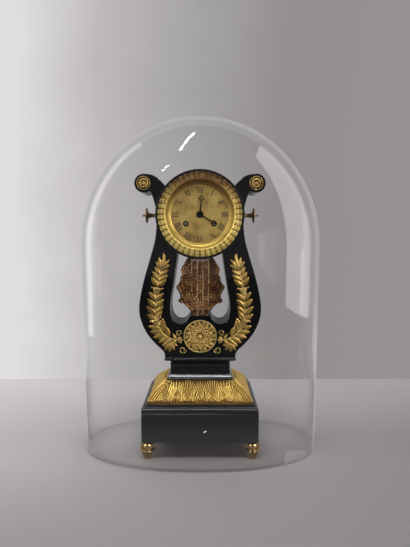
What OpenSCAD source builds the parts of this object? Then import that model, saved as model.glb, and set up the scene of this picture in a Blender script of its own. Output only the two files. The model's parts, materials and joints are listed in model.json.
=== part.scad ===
// Lyre mantel clock under a glass dome: ebonised case, gilt mounts, eight-day movement with striking.
// Millimetres, +Z up, front faces -Y, origin on the table below the clock's centre.

/* [Case] */
// Width of the plinth
plinth_width = 187; // [181:1:198]
// Depth of the plinth
plinth_depth = 130; // [126:1:140]
// Height of the plinth box
plinth_height = 48; // [42:1:56]
// Wall of the plinth box
plinth_wall = 8; // [6:0.5:10]
// Height of the turned feet
foot_height = 31; // [27:1:35]
// Largest diameter of a foot
foot_diameter = 25.5; // [22:0.5:27]
// Height of the moulded plinth cap
cap_height = 13; // [11:0.5:15]
// Height of the gilt skirt
skirt_height = 31; // [26:1:36]
// How far the skirt slopes inwards on each side
skirt_slope = 30; // [26:0.5:32]
// Sheet thickness of the gilt skirt
skirt_sheet = 1.2; // [1:0.1:2]
// Height of the waisted pedestal
pedestal_height = 26; // [23:1:31]
// Height of the neck moulding below the lyre
neck_height = 14; // [12:0.5:17]

/* [Lyre] */
// Thickness of the lyre from front to back
lyre_thickness = 56; // [52:1:58]
// Radius of the scroll eyes
scroll_radius = 15; // [14:0.5:16]
// Height of the dial centre above the lyre's foot
dial_rise = 231; // [230:0.5:233]
// Thickness of the gilt mounts
mount_thickness = 2.4; // [1.6:0.1:3]
// Diameter of a thick string
string_diameter = 1.2; // [0.8:0.1:1.6]
// Distance between two strings
string_spacing = 3.05; // [2.8:0.05:3.1]

/* [Dial] */
// Outside diameter of the bezel
bezel_diameter = 134; // [130:1:138]
// Diameter of the dial that shows inside the bezel
dial_opening = 92; // [88:1:94]
// Length of the minute hand from its centre
minute_hand_length = 33; // [31:0.5:38]
// Length of the hour hand from its centre
hour_hand_length = 29.5; // [27:0.5:32]
// Angle of the minute hand past twelve at rest
minute_rest = 6; // [0:1:354]

/* [Pendulum] */
// Distance from the suspension to the middle of the bob
pendulum_length = 150; // [146:0.5:152]
// Diameter of the pendulum rod
rod_diameter = 2.4; // [2:0.1:2.8]
// Thickness of the bob's plate
bob_plate = 2.4; // [1.6:0.1:3]

/* [Dome] */
// Width of the dome
dome_width = 394; // [380:1:420]
// Depth of the dome
dome_depth = 194; // [190:1:220]
// Height of the dome
dome_height = 553; // [540:1:600]
// Height of the dome's straight wall
dome_wall_height = 343; // [330:1:360]
// Thickness of the glass
glass = 3; // [2.5:0.1:4]

/* [Hidden] */
$fn = 48;
fine = 96;
fit = 0.15;
running = 0.05;

// Heights of the stacked case
plinth_top = foot_height + plinth_height;
cap_top = plinth_top + cap_height;
skirt_top = cap_top + skirt_height;
pedestal_top = skirt_top + pedestal_height;
lyre_z = pedestal_top + neck_height;
dial_z = lyre_z + dial_rise;
board_thickness = 8;
tie_radius = 4;

// Skirt and pedestal half sizes
skirt_margin = [8, 6];
skirt_half_x = plinth_width / 2 - skirt_margin[0];
skirt_half_y = plinth_depth / 2 - skirt_margin[1];
waist_half_x = skirt_half_x - skirt_slope - 1;
waist_half_y = skirt_half_y - skirt_slope + 3;
neck_half_x = 59.2;
neck_half_y = lyre_thickness / 2 + 5;

// Depths from front (negative) to back
lyre_front = -lyre_thickness / 2;
lyre_back = lyre_thickness / 2;
drum_front = -37;
drum_back = 58;
flange_radius = bezel_diameter / 2 + 4;
drum_radius = 65;
drum_bore = 52;
dial_sheet = 1.2;
dial_back = drum_front + dial_sheet;
dial_radius = drum_bore + 4;
front_plate_front = -27;
front_plate_back = -25;
back_plate_front = 13;
back_plate_back = 15;
plate_radius = 47;
pendulum_y = 33;
bell_mouth = 38.5;
bell_depth = 16;
bell_radius = 34;
bell_wall = 1.8;

// Tooth counts and modules of the going train, motion work and striking train
barrel_teeth = 84;
barrel_module = 0.48;
wheel_module = 0.40;
fast_module = 0.34;
third_module = 0.26;
locking_module = 0.28;
intermediate_leaves = 14;
intermediate_teeth = 70;
centre_leaves = 10;
centre_teeth = 84;
third_leaves = 8;
third_teeth = 80;
escape_leaves = 8;
escape_teeth = 42;
escape_radius = 8.4;
cannon_leaves = 14;
minute_teeth = 42;
minute_leaves = 12;
hour_teeth = 48;
second_leaves = 12;
second_teeth = 60;
pin_leaves = 10;
pin_teeth = 56;
locking_leaves = 8;
locking_teeth = 48;
warning_leaves = 8;
warning_teeth = 36;
fly_leaves = 8;
pressure = 27;
tooth_slack = 0.09;

// Arbor places seen from the front, measured from the dial centre
going_barrel_at = [22.4, -14.6];
strike_barrel_at = [-22.4, -14.6];
cannon_module = 0.40;
hour_module = cannon_module * (cannon_leaves + minute_teeth) / (minute_leaves + hour_teeth);
minute_at = [0, -reach(cannon_module, cannon_leaves, minute_teeth)];
intermediate_at = meeting(going_barrel_at, reach(barrel_module, barrel_teeth, intermediate_leaves),
                          reach(wheel_module, intermediate_teeth, centre_leaves));
third_at = reach(fast_module, centre_teeth, third_leaves) * toward(100);
escape_at = third_at + reach(third_module, third_teeth, escape_leaves) * toward(50);
anchor_distance = 11.3;
anchor_at = [0, escape_at[1] + sqrt(pow(anchor_distance, 2) - pow(escape_at[0], 2))];
second_at = strike_barrel_at + reach(barrel_module, barrel_teeth, second_leaves) * toward(95);
pin_at = second_at + reach(wheel_module, second_teeth, pin_leaves) * toward(60);
locking_at = pin_at + reach(fast_module, pin_teeth, locking_leaves) * toward(50);
warning_at = locking_at + reach(locking_module, locking_teeth, warning_leaves) * toward(100);
fly_at = warning_at + reach(third_module, warning_teeth, fly_leaves) * toward(195);
going_click_at = going_barrel_at + 13 * toward(-60);
strike_click_at = strike_barrel_at + 13 * toward(-60);
hammer_at = [-30, -14];
bell_post_at = [17, -12];
pillar_places = [[0, -42.5], [36, 21], [-37.5, 20], [14, 40]];
pillar_radius = 3;
slow_arbor = 1.25;
fast_arbor = 0.8;
light_arbor = 0.55;
winding_arbor = 3;

// Every arbor that runs through both plates: place and radius
plate_arbors = [
    [going_barrel_at, winding_arbor],
    [strike_barrel_at, winding_arbor],
    [intermediate_at, slow_arbor],
    [[0, 0], slow_arbor],
    [third_at, fast_arbor],
    [escape_at, light_arbor],
    [anchor_at, fast_arbor],
    [second_at, slow_arbor],
    [pin_at, fast_arbor],
    [locking_at, fast_arbor],
    [warning_at, light_arbor],
    [fly_at, light_arbor],
];
click_pivot = 1.2;
dial_foot_places = [[29, 29], [-29, 29], [0, -38]];

// Outer edge of the lyre's right half, height above its foot
lyre_edge = [
    [58.5, 0], [61, 7], [75, 21], [87, 36], [95, 52], [99.3, 67], [100, 81], [98, 97],
    [93.5, 118], [87.5, 140], [79.5, 166], [73, 190], [70.3, 212], [70.2, 230], [72, 246],
    [77.6, 264], [83, 271],
];
scroll_at = [90, 281];
// Upper edge of the right horn, from the scroll eye down to the drum
horn_edge = [[90, 296], [80, 295], [71, 291.5], [63, 285], [55, 277], [46, 270]];
// Edge of the opening's right half, from the drum down to the tongue
opening_edge = [
    [35.5, 180], [37, 165], [41, 138], [45, 112], [48.4, 92], [49.3, 77], [46.8, 64],
    [40.5, 55.5], [33, 53], [26, 55], [20.5, 60.5], [17, 67],
];
tongue_rise = 67;
// Stem of the right laurel branch, from its tip down to the medallion
laurel_stem = [
    [59, 171], [61, 150], [66, 130], [69.5, 114], [72.5, 90], [72.6, 63.5], [66, 45], [56, 33],
    [43, 27.5], [31, 27],
];
stem_steps = 5;
stem_half = 0.9;
leaf_length = 16;
leaf_width = 7;
leaf_steps = 10;
medallion_rise = 32.4;
medallion_radius = 27.5;
// Right half of the bob's outline, measured from the middle of the bob
bob_edge = [
    [0, 52], [14, 49], [22.6, 42.8], [28.3, 34.2], [32.6, 26.9], [34.3, 20.7], [32.4, 13.5], [35.5, 8.7],
    [35.8, 2.9], [38.4, -1.9], [42.9, -9], [39.4, -15.9], [36, -23.6], [36.7, -28.9], [39.4, -32.3],
    [35.5, -37.6], [31.7, -37.1], [26.4, -41.4], [23, -44.8], [17.3, -50.6], [0, -52],
];

// Place of the peg axis, the strings and the pendulum
peg_start = 69.6;
string_y = -22;
string_count = 10;
thick_each = 3;
thin_share = 0.5;
sleeve_diameter = 1.8;
sleeve_length = 5;
rail_depth = 7;
rail_drop = 5;
pivot_z = dial_z + anchor_at[1];
bob_z = pivot_z - pendulum_length;
pin_radius = 0.8;

// Depth layers of the train, each from front to back
barrel_teeth_y = [-24, -22];
barrel_body_y = [-22, -2];
slow_pinion_y = [-24.5, -21.5];
intermediate_wheel_y = [-0.5, 0.7];
centre_pinion_y = [-1.2, 1.5];
centre_wheel_y = [3, 4.2];
third_pinion_y = [2.2, 5];
third_wheel_y = [6.2, 7.2];
escape_pinion_y = [5.5, 7.9];
escape_wheel_y = [9.5, 10.3];
anchor_y = [9.2, 10.6];
second_wheel_y = [8.6, 9.8];
pin_pinion_y = [7.8, 10.6];
pin_wheel_y = [-8, -6.8];
locking_pinion_y = [-8.8, -6];
locking_wheel_y = [-14, -13];
warning_pinion_y = [-14.8, -12.2];
warning_wheel_y = [-19, -18.2];
fly_pinion_y = [-19.8, -17.4];
fly_blade_y = [-5.5, 6];
ratchet_y = [-29, -27.5];
cannon_teeth_y = [-30.6, -28.6];
minute_wheel_y = [-30.3, -28.9];
minute_pinion_y = [-33.2, -30.3];
hour_wheel_y = [-32.7, -31.2];
hour_hand_y = [-39.6, -38.8];
minute_hand_y = [-42.2, -41.4];
count_wheel_y = [17, 18.2];
crutch_y = [20, 21.2];
cock_y = [24.5, 27];
ratchet_radius = 8.5;
ratchet_teeth = 24;
arbor_overhang = 0.4;

// Turns that bring each pinion's leaf gap onto its wheel's tooth
intermediate_turn = mesh_turn(bearing(intermediate_at - going_barrel_at), 0,
                              barrel_teeth, intermediate_leaves);
centre_turn = mesh_turn(bearing(-intermediate_at), 0, intermediate_teeth, centre_leaves);
third_turn = mesh_turn(bearing(third_at), 0, centre_teeth, third_leaves);
escape_turn = mesh_turn(bearing(escape_at - third_at), 0, third_teeth, escape_leaves);
second_turn = mesh_turn(bearing(second_at - strike_barrel_at), 0, barrel_teeth, second_leaves);
pin_turn = mesh_turn(bearing(pin_at - second_at), 0, second_teeth, pin_leaves);
locking_turn = mesh_turn(bearing(locking_at - pin_at), 0, pin_teeth, locking_leaves);
warning_turn = mesh_turn(bearing(warning_at - locking_at), 0, locking_teeth, warning_leaves);
fly_turn = mesh_turn(bearing(fly_at - warning_at), 0, warning_teeth, fly_leaves);
hour_turn = mesh_turn(bearing(-minute_at), 0, minute_leaves, hour_teeth);
cannon_turn = mesh_turn(bearing(-minute_at), 0, minute_teeth, cannon_leaves);

black = [0.06, 0.06, 0.065];
gilt = [0.83, 0.64, 0.27];
brass = [0.72, 0.56, 0.28];
steel = [0.55, 0.56, 0.58];
blued = [0.07, 0.08, 0.14];
bronze = [0.36, 0.23, 0.14];

function toward(angle) = [cos(angle), sin(angle)];
function bearing(v) = atan2(v[1], v[0]);
function reach(size, a, b) = size * (a + b) / 2;

// Point at distance far from p and near from the dial centre, on the upper side
function meeting(p, far, near) =
    let (gap = norm(p))
    let (swing = acos((near * near + gap * gap - far * far) / (2 * near * gap)))
    near * toward(bearing(p) + swing);

// Turn of wheel b that meshes with wheel a turned by turn_a, b lying at bearing phi from a
function mesh_turn(phi, turn_a, a, b) = phi + 180 - (turn_a - phi) * a / b + 180 / b;

function involute(angle) = tan(angle) - angle * PI / 180;

// Half the angle that a tooth covers at radius r
function tooth_half(teeth, size, r) =
    let (pitch = teeth * size / 2)
    let (lean = acos(min(1, pitch * cos(pressure) / r)))
    90 / teeth + (involute(pressure) - involute(lean) - tooth_slack / (2 * pitch)) * 180 / PI;

function gear_outline(teeth, size, steps) =
    let (root = teeth * size / 2 - 1.05 * size)
    let (rise = 1.85 * size / steps)
    [for (i = [0:teeth - 1], k = [-steps:steps + 1])
        let (level = k <= 0 ? k + steps : steps + 1 - k)
        let (r = root + level * rise)
        let (side = k <= 0 ? -1 : 1)
        r * toward(360 * i / teeth + side * tooth_half(teeth, size, r))];

// Smooth curve through points: a cubic through each pair, led by the neighbours
function curve_point(a, b, c, d, t) =
    0.5 * (2 * b + (c - a) * t + (2 * a - 5 * b + 4 * c - d) * t * t + (3 * b - a - 3 * c + d) * t * t * t);

function curve(points, steps) =
    let (last = len(points) - 1)
    [for (i = [0:last - 1], s = [0:steps - 1])
        curve_point(points[max(0, i - 1)], points[i], points[i + 1], points[min(last, i + 2)], s / steps),
     points[last]];

function mirrored(points) = [for (i = [len(points) - 1:-1:0]) [-points[i][0], points[i][1]]];

module facing(y) {
    translate([0, y, 0])
        rotate([90, 0, 0])
            children();
}

// Flat shape drawn as seen from the front, between two depths
module slab(front, back) {
    facing(back)
        linear_extrude(back - front)
            children();
}

module at_dial(place = [0, 0]) {
    translate([place[0], 0, dial_z + place[1]])
        children();
}

module rod(place, r, front, back) {
    at_dial(place)
        facing(back)
            cylinder(r = r, h = back - front);
}

// Turned form on an axis that points to the viewer; profile points are [radius, forward]
module turned(place, y) {
    at_dial(place)
        facing(y)
            rotate_extrude($fn = fine)
                children();
}

// Block whose four sides follow one profile of [inset, height], mitred at the corners
module mitred(half_x, half_y, profile) {
    last = len(profile) - 1;
    intersection() {
        rotate([90, 0, 0])
            translate([0, 0, -half_y - 1])
                linear_extrude(2 * half_y + 2)
                    polygon(concat(
                        [for (p = profile) [half_x - p[0], p[1]]],
                        [for (i = [last:-1:0]) [profile[i][0] - half_x, profile[i][1]]]));
        rotate([90, 0, 90])
            translate([0, 0, -half_x - 1])
                linear_extrude(2 * half_x + 2)
                    polygon(concat(
                        [for (p = profile) [half_y - p[0], p[1]]],
                        [for (i = [last:-1:0]) [profile[i][0] - half_y, profile[i][1]]]));
    }
}

module gear(teeth, size, turn, steps = 2) {
    rotate(turn)
        polygon(gear_outline(teeth, size, steps));
}

// Wheel with a rim, hub and five arms
module crossed_wheel(teeth, size, rim, hub) {
    inner = teeth * size / 2 - rim;
    difference() {
        gear(teeth, size, 0);
        difference() {
            circle(inner);
            circle(hub);
            for (i = [0:4])
                rotate(72 * i)
                    translate([0, -0.8])
                        square([inner + 1, 1.6]);
        }
    }
}

module layer(place, depths) {
    at_dial(place)
        slab(depths[0], depths[1])
            children();
}

module through_arbor(place, r) {
    rod(place, r, front_plate_front - arbor_overhang, back_plate_back + arbor_overhang);
}

// Leaf with two bowed edges, its foot at the origin and its tip on +X
module leaf(length, width) {
    side = [for (i = [0:leaf_steps]) [length * i / leaf_steps, width / 2 * sin(180 * i / leaf_steps)]];
    polygon(concat(side, [for (i = [leaf_steps - 1:-1:1]) [side[i][0], -side[i][1]]]));
}

module both_sides() {
    children();
    mirror([1, 0, 0])
        children();
}

corner_block = 22;
foot_inset = [8, 14];
foot_x = plinth_width / 2 - foot_inset[0];
foot_y = plinth_depth / 2 - foot_inset[1];
stud_radius = 3;
stud_length = 12;

module at_feet(z) {
    for (sx = [-1, 1], sy = [-1, 1])
        translate([sx * foot_x, sy * foot_y, z])
            children();
}

// Plan of the plinth's hollow; its corners stay solid and take the foot studs
module plinth_plan() {
    difference() {
        square([plinth_width - 2 * plinth_wall, plinth_depth - 2 * plinth_wall], center = true);
        for (sx = [-1, 1], sy = [-1, 1])
            translate([sx * plinth_width / 2, sy * plinth_depth / 2])
                square(2 * corner_block, center = true);
    }
}

module plinth_box() {
    color(black)
        difference() {
            translate([-plinth_width / 2, -plinth_depth / 2, foot_height])
                cube([plinth_width, plinth_depth, plinth_height]);
            translate([0, 0, foot_height - 1])
                linear_extrude(plinth_height - plinth_wall + 1)
                    plinth_plan();
            translate([0, 0, foot_height])
                cylinder(r = tie_radius + fit, h = plinth_height + 1);
            at_feet(foot_height - 1)
                cylinder(r = stud_radius + running, h = stud_length + 2);
        }
}

module bottom_board() {
    color(black)
        translate([0, 0, foot_height])
            linear_extrude(board_thickness)
                plinth_plan();
}

module feet() {
    r = foot_diameter / 2;
    h = foot_height;
    color(brass)
        at_feet(0)
            rotate_extrude($fn = fine)
                polygon([
                    [0, 0], [0.40 * r, 0], [0.48 * r, 0.03 * h], [0.52 * r, 0.09 * h], [0.63 * r, 0.18 * h],
                    [0.78 * r, 0.31 * h], [0.85 * r, 0.41 * h], [0.97 * r, 0.46 * h], [r, 0.49 * h],
                    [0.97 * r, 0.52 * h], [0.91 * r, 0.54 * h], [0.97 * r, 0.62 * h], [0.98 * r, 0.69 * h],
                    [0.93 * r, 0.78 * h], [0.82 * r, 0.86 * h], [0.66 * r, 0.92 * h], [0.56 * r, 0.94 * h],
                    [0.56 * r, h], [stud_radius, h], [stud_radius, h + stud_length], [0, h + stud_length],
                ]);
}

module plinth_cap() {
    edge = cap_height / 13;
    color(black)
        difference() {
            translate([0, 0, plinth_top])
                mitred(plinth_width / 2, plinth_depth / 2, [
                    [1.6, 0], [1.6, 0.8 * edge], [0.5, 1.4 * edge], [0, 2.4 * edge], [0, 5.4 * edge],
                    [0.4, 6.8 * edge], [1.4, 7.8 * edge], [3, 8.4 * edge], [4.4, 8.8 * edge],
                    [4.8, 9.6 * edge], [5.2, 13 * edge]]);
            translate([0, 0, plinth_top - 1])
                cylinder(r = tie_radius + fit, h = cap_height + 2);
        }
}

// Rounded slope of the skirt: an arc of insets from foot to head
function skirt_profile(grow) =
    [for (i = [0:8])
        let (t = i / 8)
        [skirt_slope * (0.35 * t + 0.65 * (1 - cos(90 * t))) - grow * t, skirt_height * t]];

module gilt_skirt() {
    color(gilt)
        difference() {
            translate([0, 0, cap_top])
                mitred(skirt_half_x, skirt_half_y, skirt_profile(0));
            translate([0, 0, cap_top])
                mitred(skirt_half_x - skirt_sheet - fit, skirt_half_y - skirt_sheet - fit, skirt_profile(0));
        }
}

module skirt_core() {
    color(black)
        difference() {
            translate([0, 0, cap_top])
                mitred(skirt_half_x - skirt_sheet - 2 * fit, skirt_half_y - skirt_sheet - 2 * fit,
                       skirt_profile(0));
            translate([0, 0, cap_top - 1])
                cylinder(r = tie_radius + fit, h = skirt_height + 2);
        }
}

module pedestal() {
    h = pedestal_height;
    color(black)
        difference() {
            translate([0, 0, skirt_top])
                mitred(waist_half_x, waist_half_y, [
                    [0, 0], [0, 0.09 * h], [0.6, 0.12 * h], [1.5, 0.14 * h], [1.5, 0.17 * h], [3.2, 0.25 * h],
                    [4.2, 0.29 * h], [4.5, 0.33 * h], [5.4, 0.80 * h], [5.4, 0.88 * h], [4.9, 0.92 * h],
                    [4.9, h]]);
            translate([0, 0, skirt_top - 1])
                cylinder(r = tie_radius + fit, h = h + 2);
        }
}

module neck_moulding() {
    h = neck_height;
    color(black)
        difference() {
            translate([0, 0, pedestal_top])
                mitred(neck_half_x, neck_half_y, [
                    [12.4, 0], [11.8, 0.10 * h], [10.8, 0.20 * h], [9.6, 0.27 * h], [9.4, 0.31 * h],
                    [6.6, 0.34 * h], [4.9, 0.38 * h], [2.6, 0.42 * h], [0.9, 0.48 * h], [0, 0.57 * h],
                    [0.2, 0.66 * h], [1.2, 0.74 * h], [1.6, 0.80 * h], [1, 0.88 * h], [1, h]]);
            translate([0, 0, pedestal_top - 1])
                cylinder(r = tie_radius + fit, h = h + 2);
        }
}

tie_nut_radius = 9;
tie_nut_height = 6;
tie_end = 3;
tie_reach = 30;
tie_seat = plinth_top - plinth_wall;
tie_bottom = tie_seat - tie_nut_height - tie_end;
tie_top = lyre_z + tie_reach;

module tie_bolt() {
    color(steel) {
        translate([0, 0, tie_bottom])
            cylinder(r = tie_radius, h = tie_top - tie_bottom);
        translate([0, 0, tie_seat - tie_nut_height])
            cylinder(r = tie_nut_radius, h = tie_nut_height, $fn = 6);
    }
}

module lyre_shape() {
    outer = curve(lyre_edge, 5);
    horn = curve(horn_edge, 4);
    half = concat(outer, [scroll_at], horn);
    hole = curve(opening_edge, 5);
    difference() {
        union() {
            polygon(concat(half, mirrored(half)));
            for (side = [-1, 1])
                translate([side * scroll_at[0], scroll_at[1]])
                    circle(scroll_radius, $fn = fine);
        }
        polygon(concat(hole, mirrored(hole)));
        translate([0, dial_rise])
            circle(drum_radius + fit, $fn = fine);
    }
}

module lyre_body() {
    color(black)
        difference() {
            translate([0, 0, lyre_z])
                slab(lyre_front, lyre_back)
                    lyre_shape();
            translate([0, 0, lyre_z - 1])
                cylinder(r = tie_radius + fit, h = tie_top - lyre_z + 1);
            at_dial()
                rotate([0, 90, 0])
                    cylinder(r = peg_tenon + fit, h = 200, center = true);
        }
}

peg_tenon = 2.2;

// Turned drum with a front flange, a bore for the movement and a slot for the pendulum rod
module dial_drum() {
    depth = drum_back - drum_front;
    flange = lyre_front - drum_front;
    slot_half = 18;
    color(black)
        difference() {
            turned([0, 0], drum_back)
                polygon([
                    [drum_bore, 0], [drum_radius, 0], [drum_radius, depth - flange],
                    [flange_radius, depth - flange], [flange_radius, depth - 1.5],
                    [flange_radius - 1.5, depth], [dial_radius + fit, depth],
                    [dial_radius + fit, depth - dial_sheet], [drum_bore, depth - dial_sheet]]);
            translate([-slot_half, pendulum_y - 5, dial_z - drum_radius - 5])
                cube([2 * slot_half, 10, drum_radius - drum_bore + 12]);
        }
}

rosette_plate = 1.6;
rosette_disc = 8.6;
rosette_petal = 3.3;
rosette_petal_at = 8;
rosette_boss = [[0, 0], [4.2, 0], [3.6, 1.2], [2, 2.2], [0, 2.6]];

module scroll_rosettes() {
    petals = 8;
    color(gilt)
        both_sides()
            translate([scroll_at[0], 0, lyre_z + scroll_at[1]]) {
                slab(lyre_front - rosette_plate, lyre_front)
                    union() {
                        circle(rosette_disc, $fn = fine);
                        for (i = [0:petals - 1])
                            rotate(360 / petals * i)
                                translate([rosette_petal_at, 0])
                                    circle(rosette_petal, $fn = 24);
                    }
                facing(lyre_front - rosette_plate)
                    rotate_extrude($fn = fine)
                        polygon(rosette_boss);
            }
}

// Peg from its tenon to its ball tip: radius and distance from the drum
peg_profile = [
    [0, -4], [peg_tenon, -4], [peg_tenon, 1], [5, 1], [5.3, 2.2], [5, 3.6], [3.4, 4.2],
    [3.1, 8], [3.5, 13], [4.6, 14], [4.6, 15.6], [3.2, 16.4], [3.2, 17.2], [9, 17.6],
    [12.6, 18.6], [13, 19.4], [12.6, 20.2], [9, 21.2], [2.4, 22.2], [1.3, 23], [1.2, 24.4],
    [1.7, 25.1], [1.9, 26], [1.6, 27], [0.9, 27.6], [0, 27.8]];

module side_pegs() {
    color(bronze)
        both_sides()
            translate([peg_start, 0, dial_z])
                rotate([0, 90, 0])
                    rotate_extrude($fn = fine)
                        polygon(peg_profile);
}

function stem_point(at) =
    let (line = curve(laurel_stem, stem_steps))
    let (place = at * (len(line) - 1))
    let (i = min(floor(place), len(line) - 2))
    line[i] + (line[i + 1] - line[i]) * (place - i);

function stem_bearing(at) = bearing(stem_point(max(0, at - 0.02)) - stem_point(min(1, at + 0.02)));

// Pair of leaves that point along the stem towards its tip
module leaf_pair(at, spread, size) {
    translate(stem_point(at))
        rotate(stem_bearing(at))
            for (side = [-1, 1])
                rotate(side * spread)
                    leaf(leaf_length * size, leaf_width * size);
}

// Leaves that spread from one point: turn, length and width of each
module leaf_fan(leaves, turn) {
    for (l = leaves)
        rotate(turn + l[0])
            leaf(l[1], l[2]);
}

// Bell-shaped husk that opens towards the tip, with two curled points
husk_length = 14;
husk_mouth = 5.6;
husk_curl = 1.9;

module husk(at) {
    translate(stem_point(at))
        rotate(stem_bearing(at)) {
            polygon([
                [0, -1], [0.4 * husk_length, -0.55 * husk_mouth], [0.8 * husk_length, -0.7 * husk_mouth],
                [husk_length, -husk_mouth], [husk_length, husk_mouth], [0.8 * husk_length, 0.7 * husk_mouth],
                [0.4 * husk_length, 0.55 * husk_mouth], [0, 1]]);
            for (side = [-1, 1])
                translate([husk_length - 0.4, side * (husk_mouth + 0.8)])
                    circle(husk_curl, $fn = 24);
        }
}

// Leaf pairs of a branch: place along the stem, spread and size
laurel_pairs = [
    [0.177, 36, 0.95], [0.241, 38, 1], [0.314, 38, 1], [0.412, 38, 1], [0.461, 38, 1], [0.507, 38, 1],
    [0.660, 40, 1], [0.707, 44, 0.95], [0.778, 52, 0.9], [0.845, 62, 0.8], [0.92, 58, 0.55],
];
husk_places = [0.391, 0.625];
crown_place = 0.15;
crown_fan = [[0, 26, 6], [24, 21, 6], [-24, 21, 6], [46, 15, 5], [-46, 15, 5]];
root_at = [50, 21];
root_rise = 9;
root_fan = [[0, 15, 6], [36, 14.5, 6], [-36, 14.5, 6], [72, 13.5, 6], [-72, 13.5, 6]];

module laurel_shape() {
    line = curve(laurel_stem, stem_steps);
    last = len(line) - 1;
    across = [for (i = [0:last])
        stem_half * toward(bearing(line[min(last, i + 1)] - line[max(0, i - 1)]) + 90)];
    polygon(concat(line + across, [for (i = [last:-1:0]) line[i] - across[i]]));
    translate(stem_point(crown_place))
        leaf_fan(crown_fan, stem_bearing(crown_place));
    for (pair = laurel_pairs)
        leaf_pair(pair[0], pair[1], pair[2]);
    for (place = husk_places)
        husk(place);
    translate(root_at)
        leaf_fan(root_fan, -90);
    translate(root_at - [stem_half, 0])
        square([2 * stem_half, root_rise]);
}

module laurel(side) {
    color(gilt)
        translate([0, 0, lyre_z])
            scale_side(side)
                slab(lyre_front - mount_thickness, lyre_front)
                    laurel_shape();
}

module scale_side(side) {
    if (side > 0)
        children();
    else
        mirror([1, 0, 0])
            children();
}

module left_laurel() {
    laurel(-1);
}

module right_laurel() {
    laurel(1);
}

// Ring with a pierced eight-leaf flower
module medallion() {
    petals = 8;
    color(gilt)
        translate([0, 0, lyre_z + medallion_rise]) {
            slab(lyre_front - mount_thickness, lyre_front)
                union() {
                    difference() {
                        circle(medallion_radius, $fn = fine);
                        circle(medallion_radius - 3, $fn = fine);
                    }
                    for (i = [0:petals - 1])
                        rotate(360 / petals * (i + 0.5)) {
                            translate([4, 0])
                                leaf(medallion_radius - 6, 9);
                            rotate(180 / petals)
                                translate([medallion_radius - 8, 0])
                                    leaf(7, 5);
                        }
                    circle(6, $fn = fine);
                }
            facing(lyre_front - mount_thickness)
                rotate_extrude($fn = fine)
                    polygon([[0, 0], [5.4, 0], [4.8, 1.2], [3, 2.2], [0, 2.6]]);
        }
}

// Four small C-scrolls round the medallion: place, ring radius and gap direction
curl_places = [[34.2, 38.2, 5.4, 200], [28.6, 9.6, 6.2, 120]];

module medallion_curls() {
    band = 1.7;
    color(gilt)
        translate([0, 0, lyre_z])
            both_sides()
                slab(lyre_front - mount_thickness, lyre_front)
                    for (c = curl_places)
                        translate([c[0], c[1]]) {
                            difference() {
                                circle(c[2]);
                                circle(c[2] - band);
                                rotate(c[3])
                                    polygon([[0, 0], [2 * c[2], 0], 2 * c[2] * toward(50)]);
                            }
                            rotate(c[3])
                                translate([c[2] - band - 0.6, 0])
                                    circle(1.5, $fn = 24);
                        }
}

function string_x(i) = (i - (string_count - 1) / 2) * string_spacing;

rail_half = string_x(string_count - 1) + 2.5;
rail_bottom = dial_z - drum_radius - rail_drop;

// Bar under the drum, with a short sleeve for the upper end of each string
module string_rail() {
    color(brass)
        union() {
            difference() {
                translate([-rail_half, string_y - rail_depth / 2, rail_bottom])
                    cube([2 * rail_half, rail_depth, rail_drop + 6]);
                rod([0, 0], drum_radius + fit / 2, drum_front, drum_back);
            }
            for (i = [0:string_count - 1])
                translate([string_x(i), string_y, rail_bottom - sleeve_length])
                    cylinder(d = sleeve_diameter, h = sleeve_length + 1, $fn = 24);
        }
}

// Every third string is a thick one
module strings() {
    bottom = lyre_z + tongue_rise;
    color(brass)
        for (i = [0:string_count - 1])
            translate([string_x(i), string_y, bottom])
                cylinder(d = string_diameter * (i % thick_each == 0 ? 1 : thin_share),
                         h = rail_bottom - sleeve_length - bottom, $fn = 16);
}

bezel_crest = 9.6;

// Bezel: a raised leaf moulding outside, a stepped cove inside
module bezel() {
    outer = bezel_diameter / 2;
    inner = dial_opening / 2;
    span = outer - inner;
    crest = bezel_crest;
    color(gilt)
        turned([0, 0], drum_front)
            polygon([
                [inner, 0], [outer, 0], [outer, 0.23 * crest], [outer - 0.05 * span, 0.38 * crest],
                [outer - 0.16 * span, 0.58 * crest], [outer - 0.30 * span, 0.77 * crest],
                [outer - 0.44 * span, 0.90 * crest], [outer - 0.54 * span, 0.98 * crest],
                [outer - 0.60 * span, crest], [outer - 0.66 * span, 0.94 * crest],
                [outer - 0.68 * span, 0.73 * crest], [outer - 0.76 * span, 0.52 * crest],
                [outer - 0.86 * span, 0.38 * crest], [outer - 0.88 * span, 0.23 * crest],
                [outer - 0.98 * span, 0.17 * crest], [inner, 0.10 * crest]]);
}

module dial_plate() {
    hole = 4.6;
    color(gilt)
        difference() {
            union() {
                rod([0, 0], dial_radius, drum_front, dial_back);
                for (p = dial_foot_places)
                    rod(p, 1.5, dial_back, front_plate_front);
            }
            rod([0, 0], hole, drum_front - 1, dial_back + 1);
            rod(going_barrel_at, hole, drum_front - 1, dial_back + 1);
            rod(strike_barrel_at, hole, drum_front - 1, dial_back + 1);
        }
}

// Hand along +Y: a tapering blade, an open diamond and a round boss
module hand_shape(length, diamond_at, half_length, half_width, boss, bore) {
    difference() {
        union() {
            circle(boss);
            polygon([
                [-1.1, 0], [1.1, 0], [0.7, diamond_at - half_length + 1],
                [-0.7, diamond_at - half_length + 1]]);
            polygon([
                [0, diamond_at - half_length], [half_width, diamond_at], [0, diamond_at + half_length],
                [-half_width, diamond_at]]);
            polygon([
                [-0.8, diamond_at + half_length - 1], [0.8, diamond_at + half_length - 1],
                [0.25, length], [-0.25, length]]);
        }
        circle(bore);
        polygon([
            [0, diamond_at - 0.62 * half_length], [0.55 * half_width, diamond_at],
            [0, diamond_at + 0.62 * half_length], [-0.55 * half_width, diamond_at]]);
    }
}

cannon_outer = 2.3;
hour_outer = 3.4;

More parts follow.
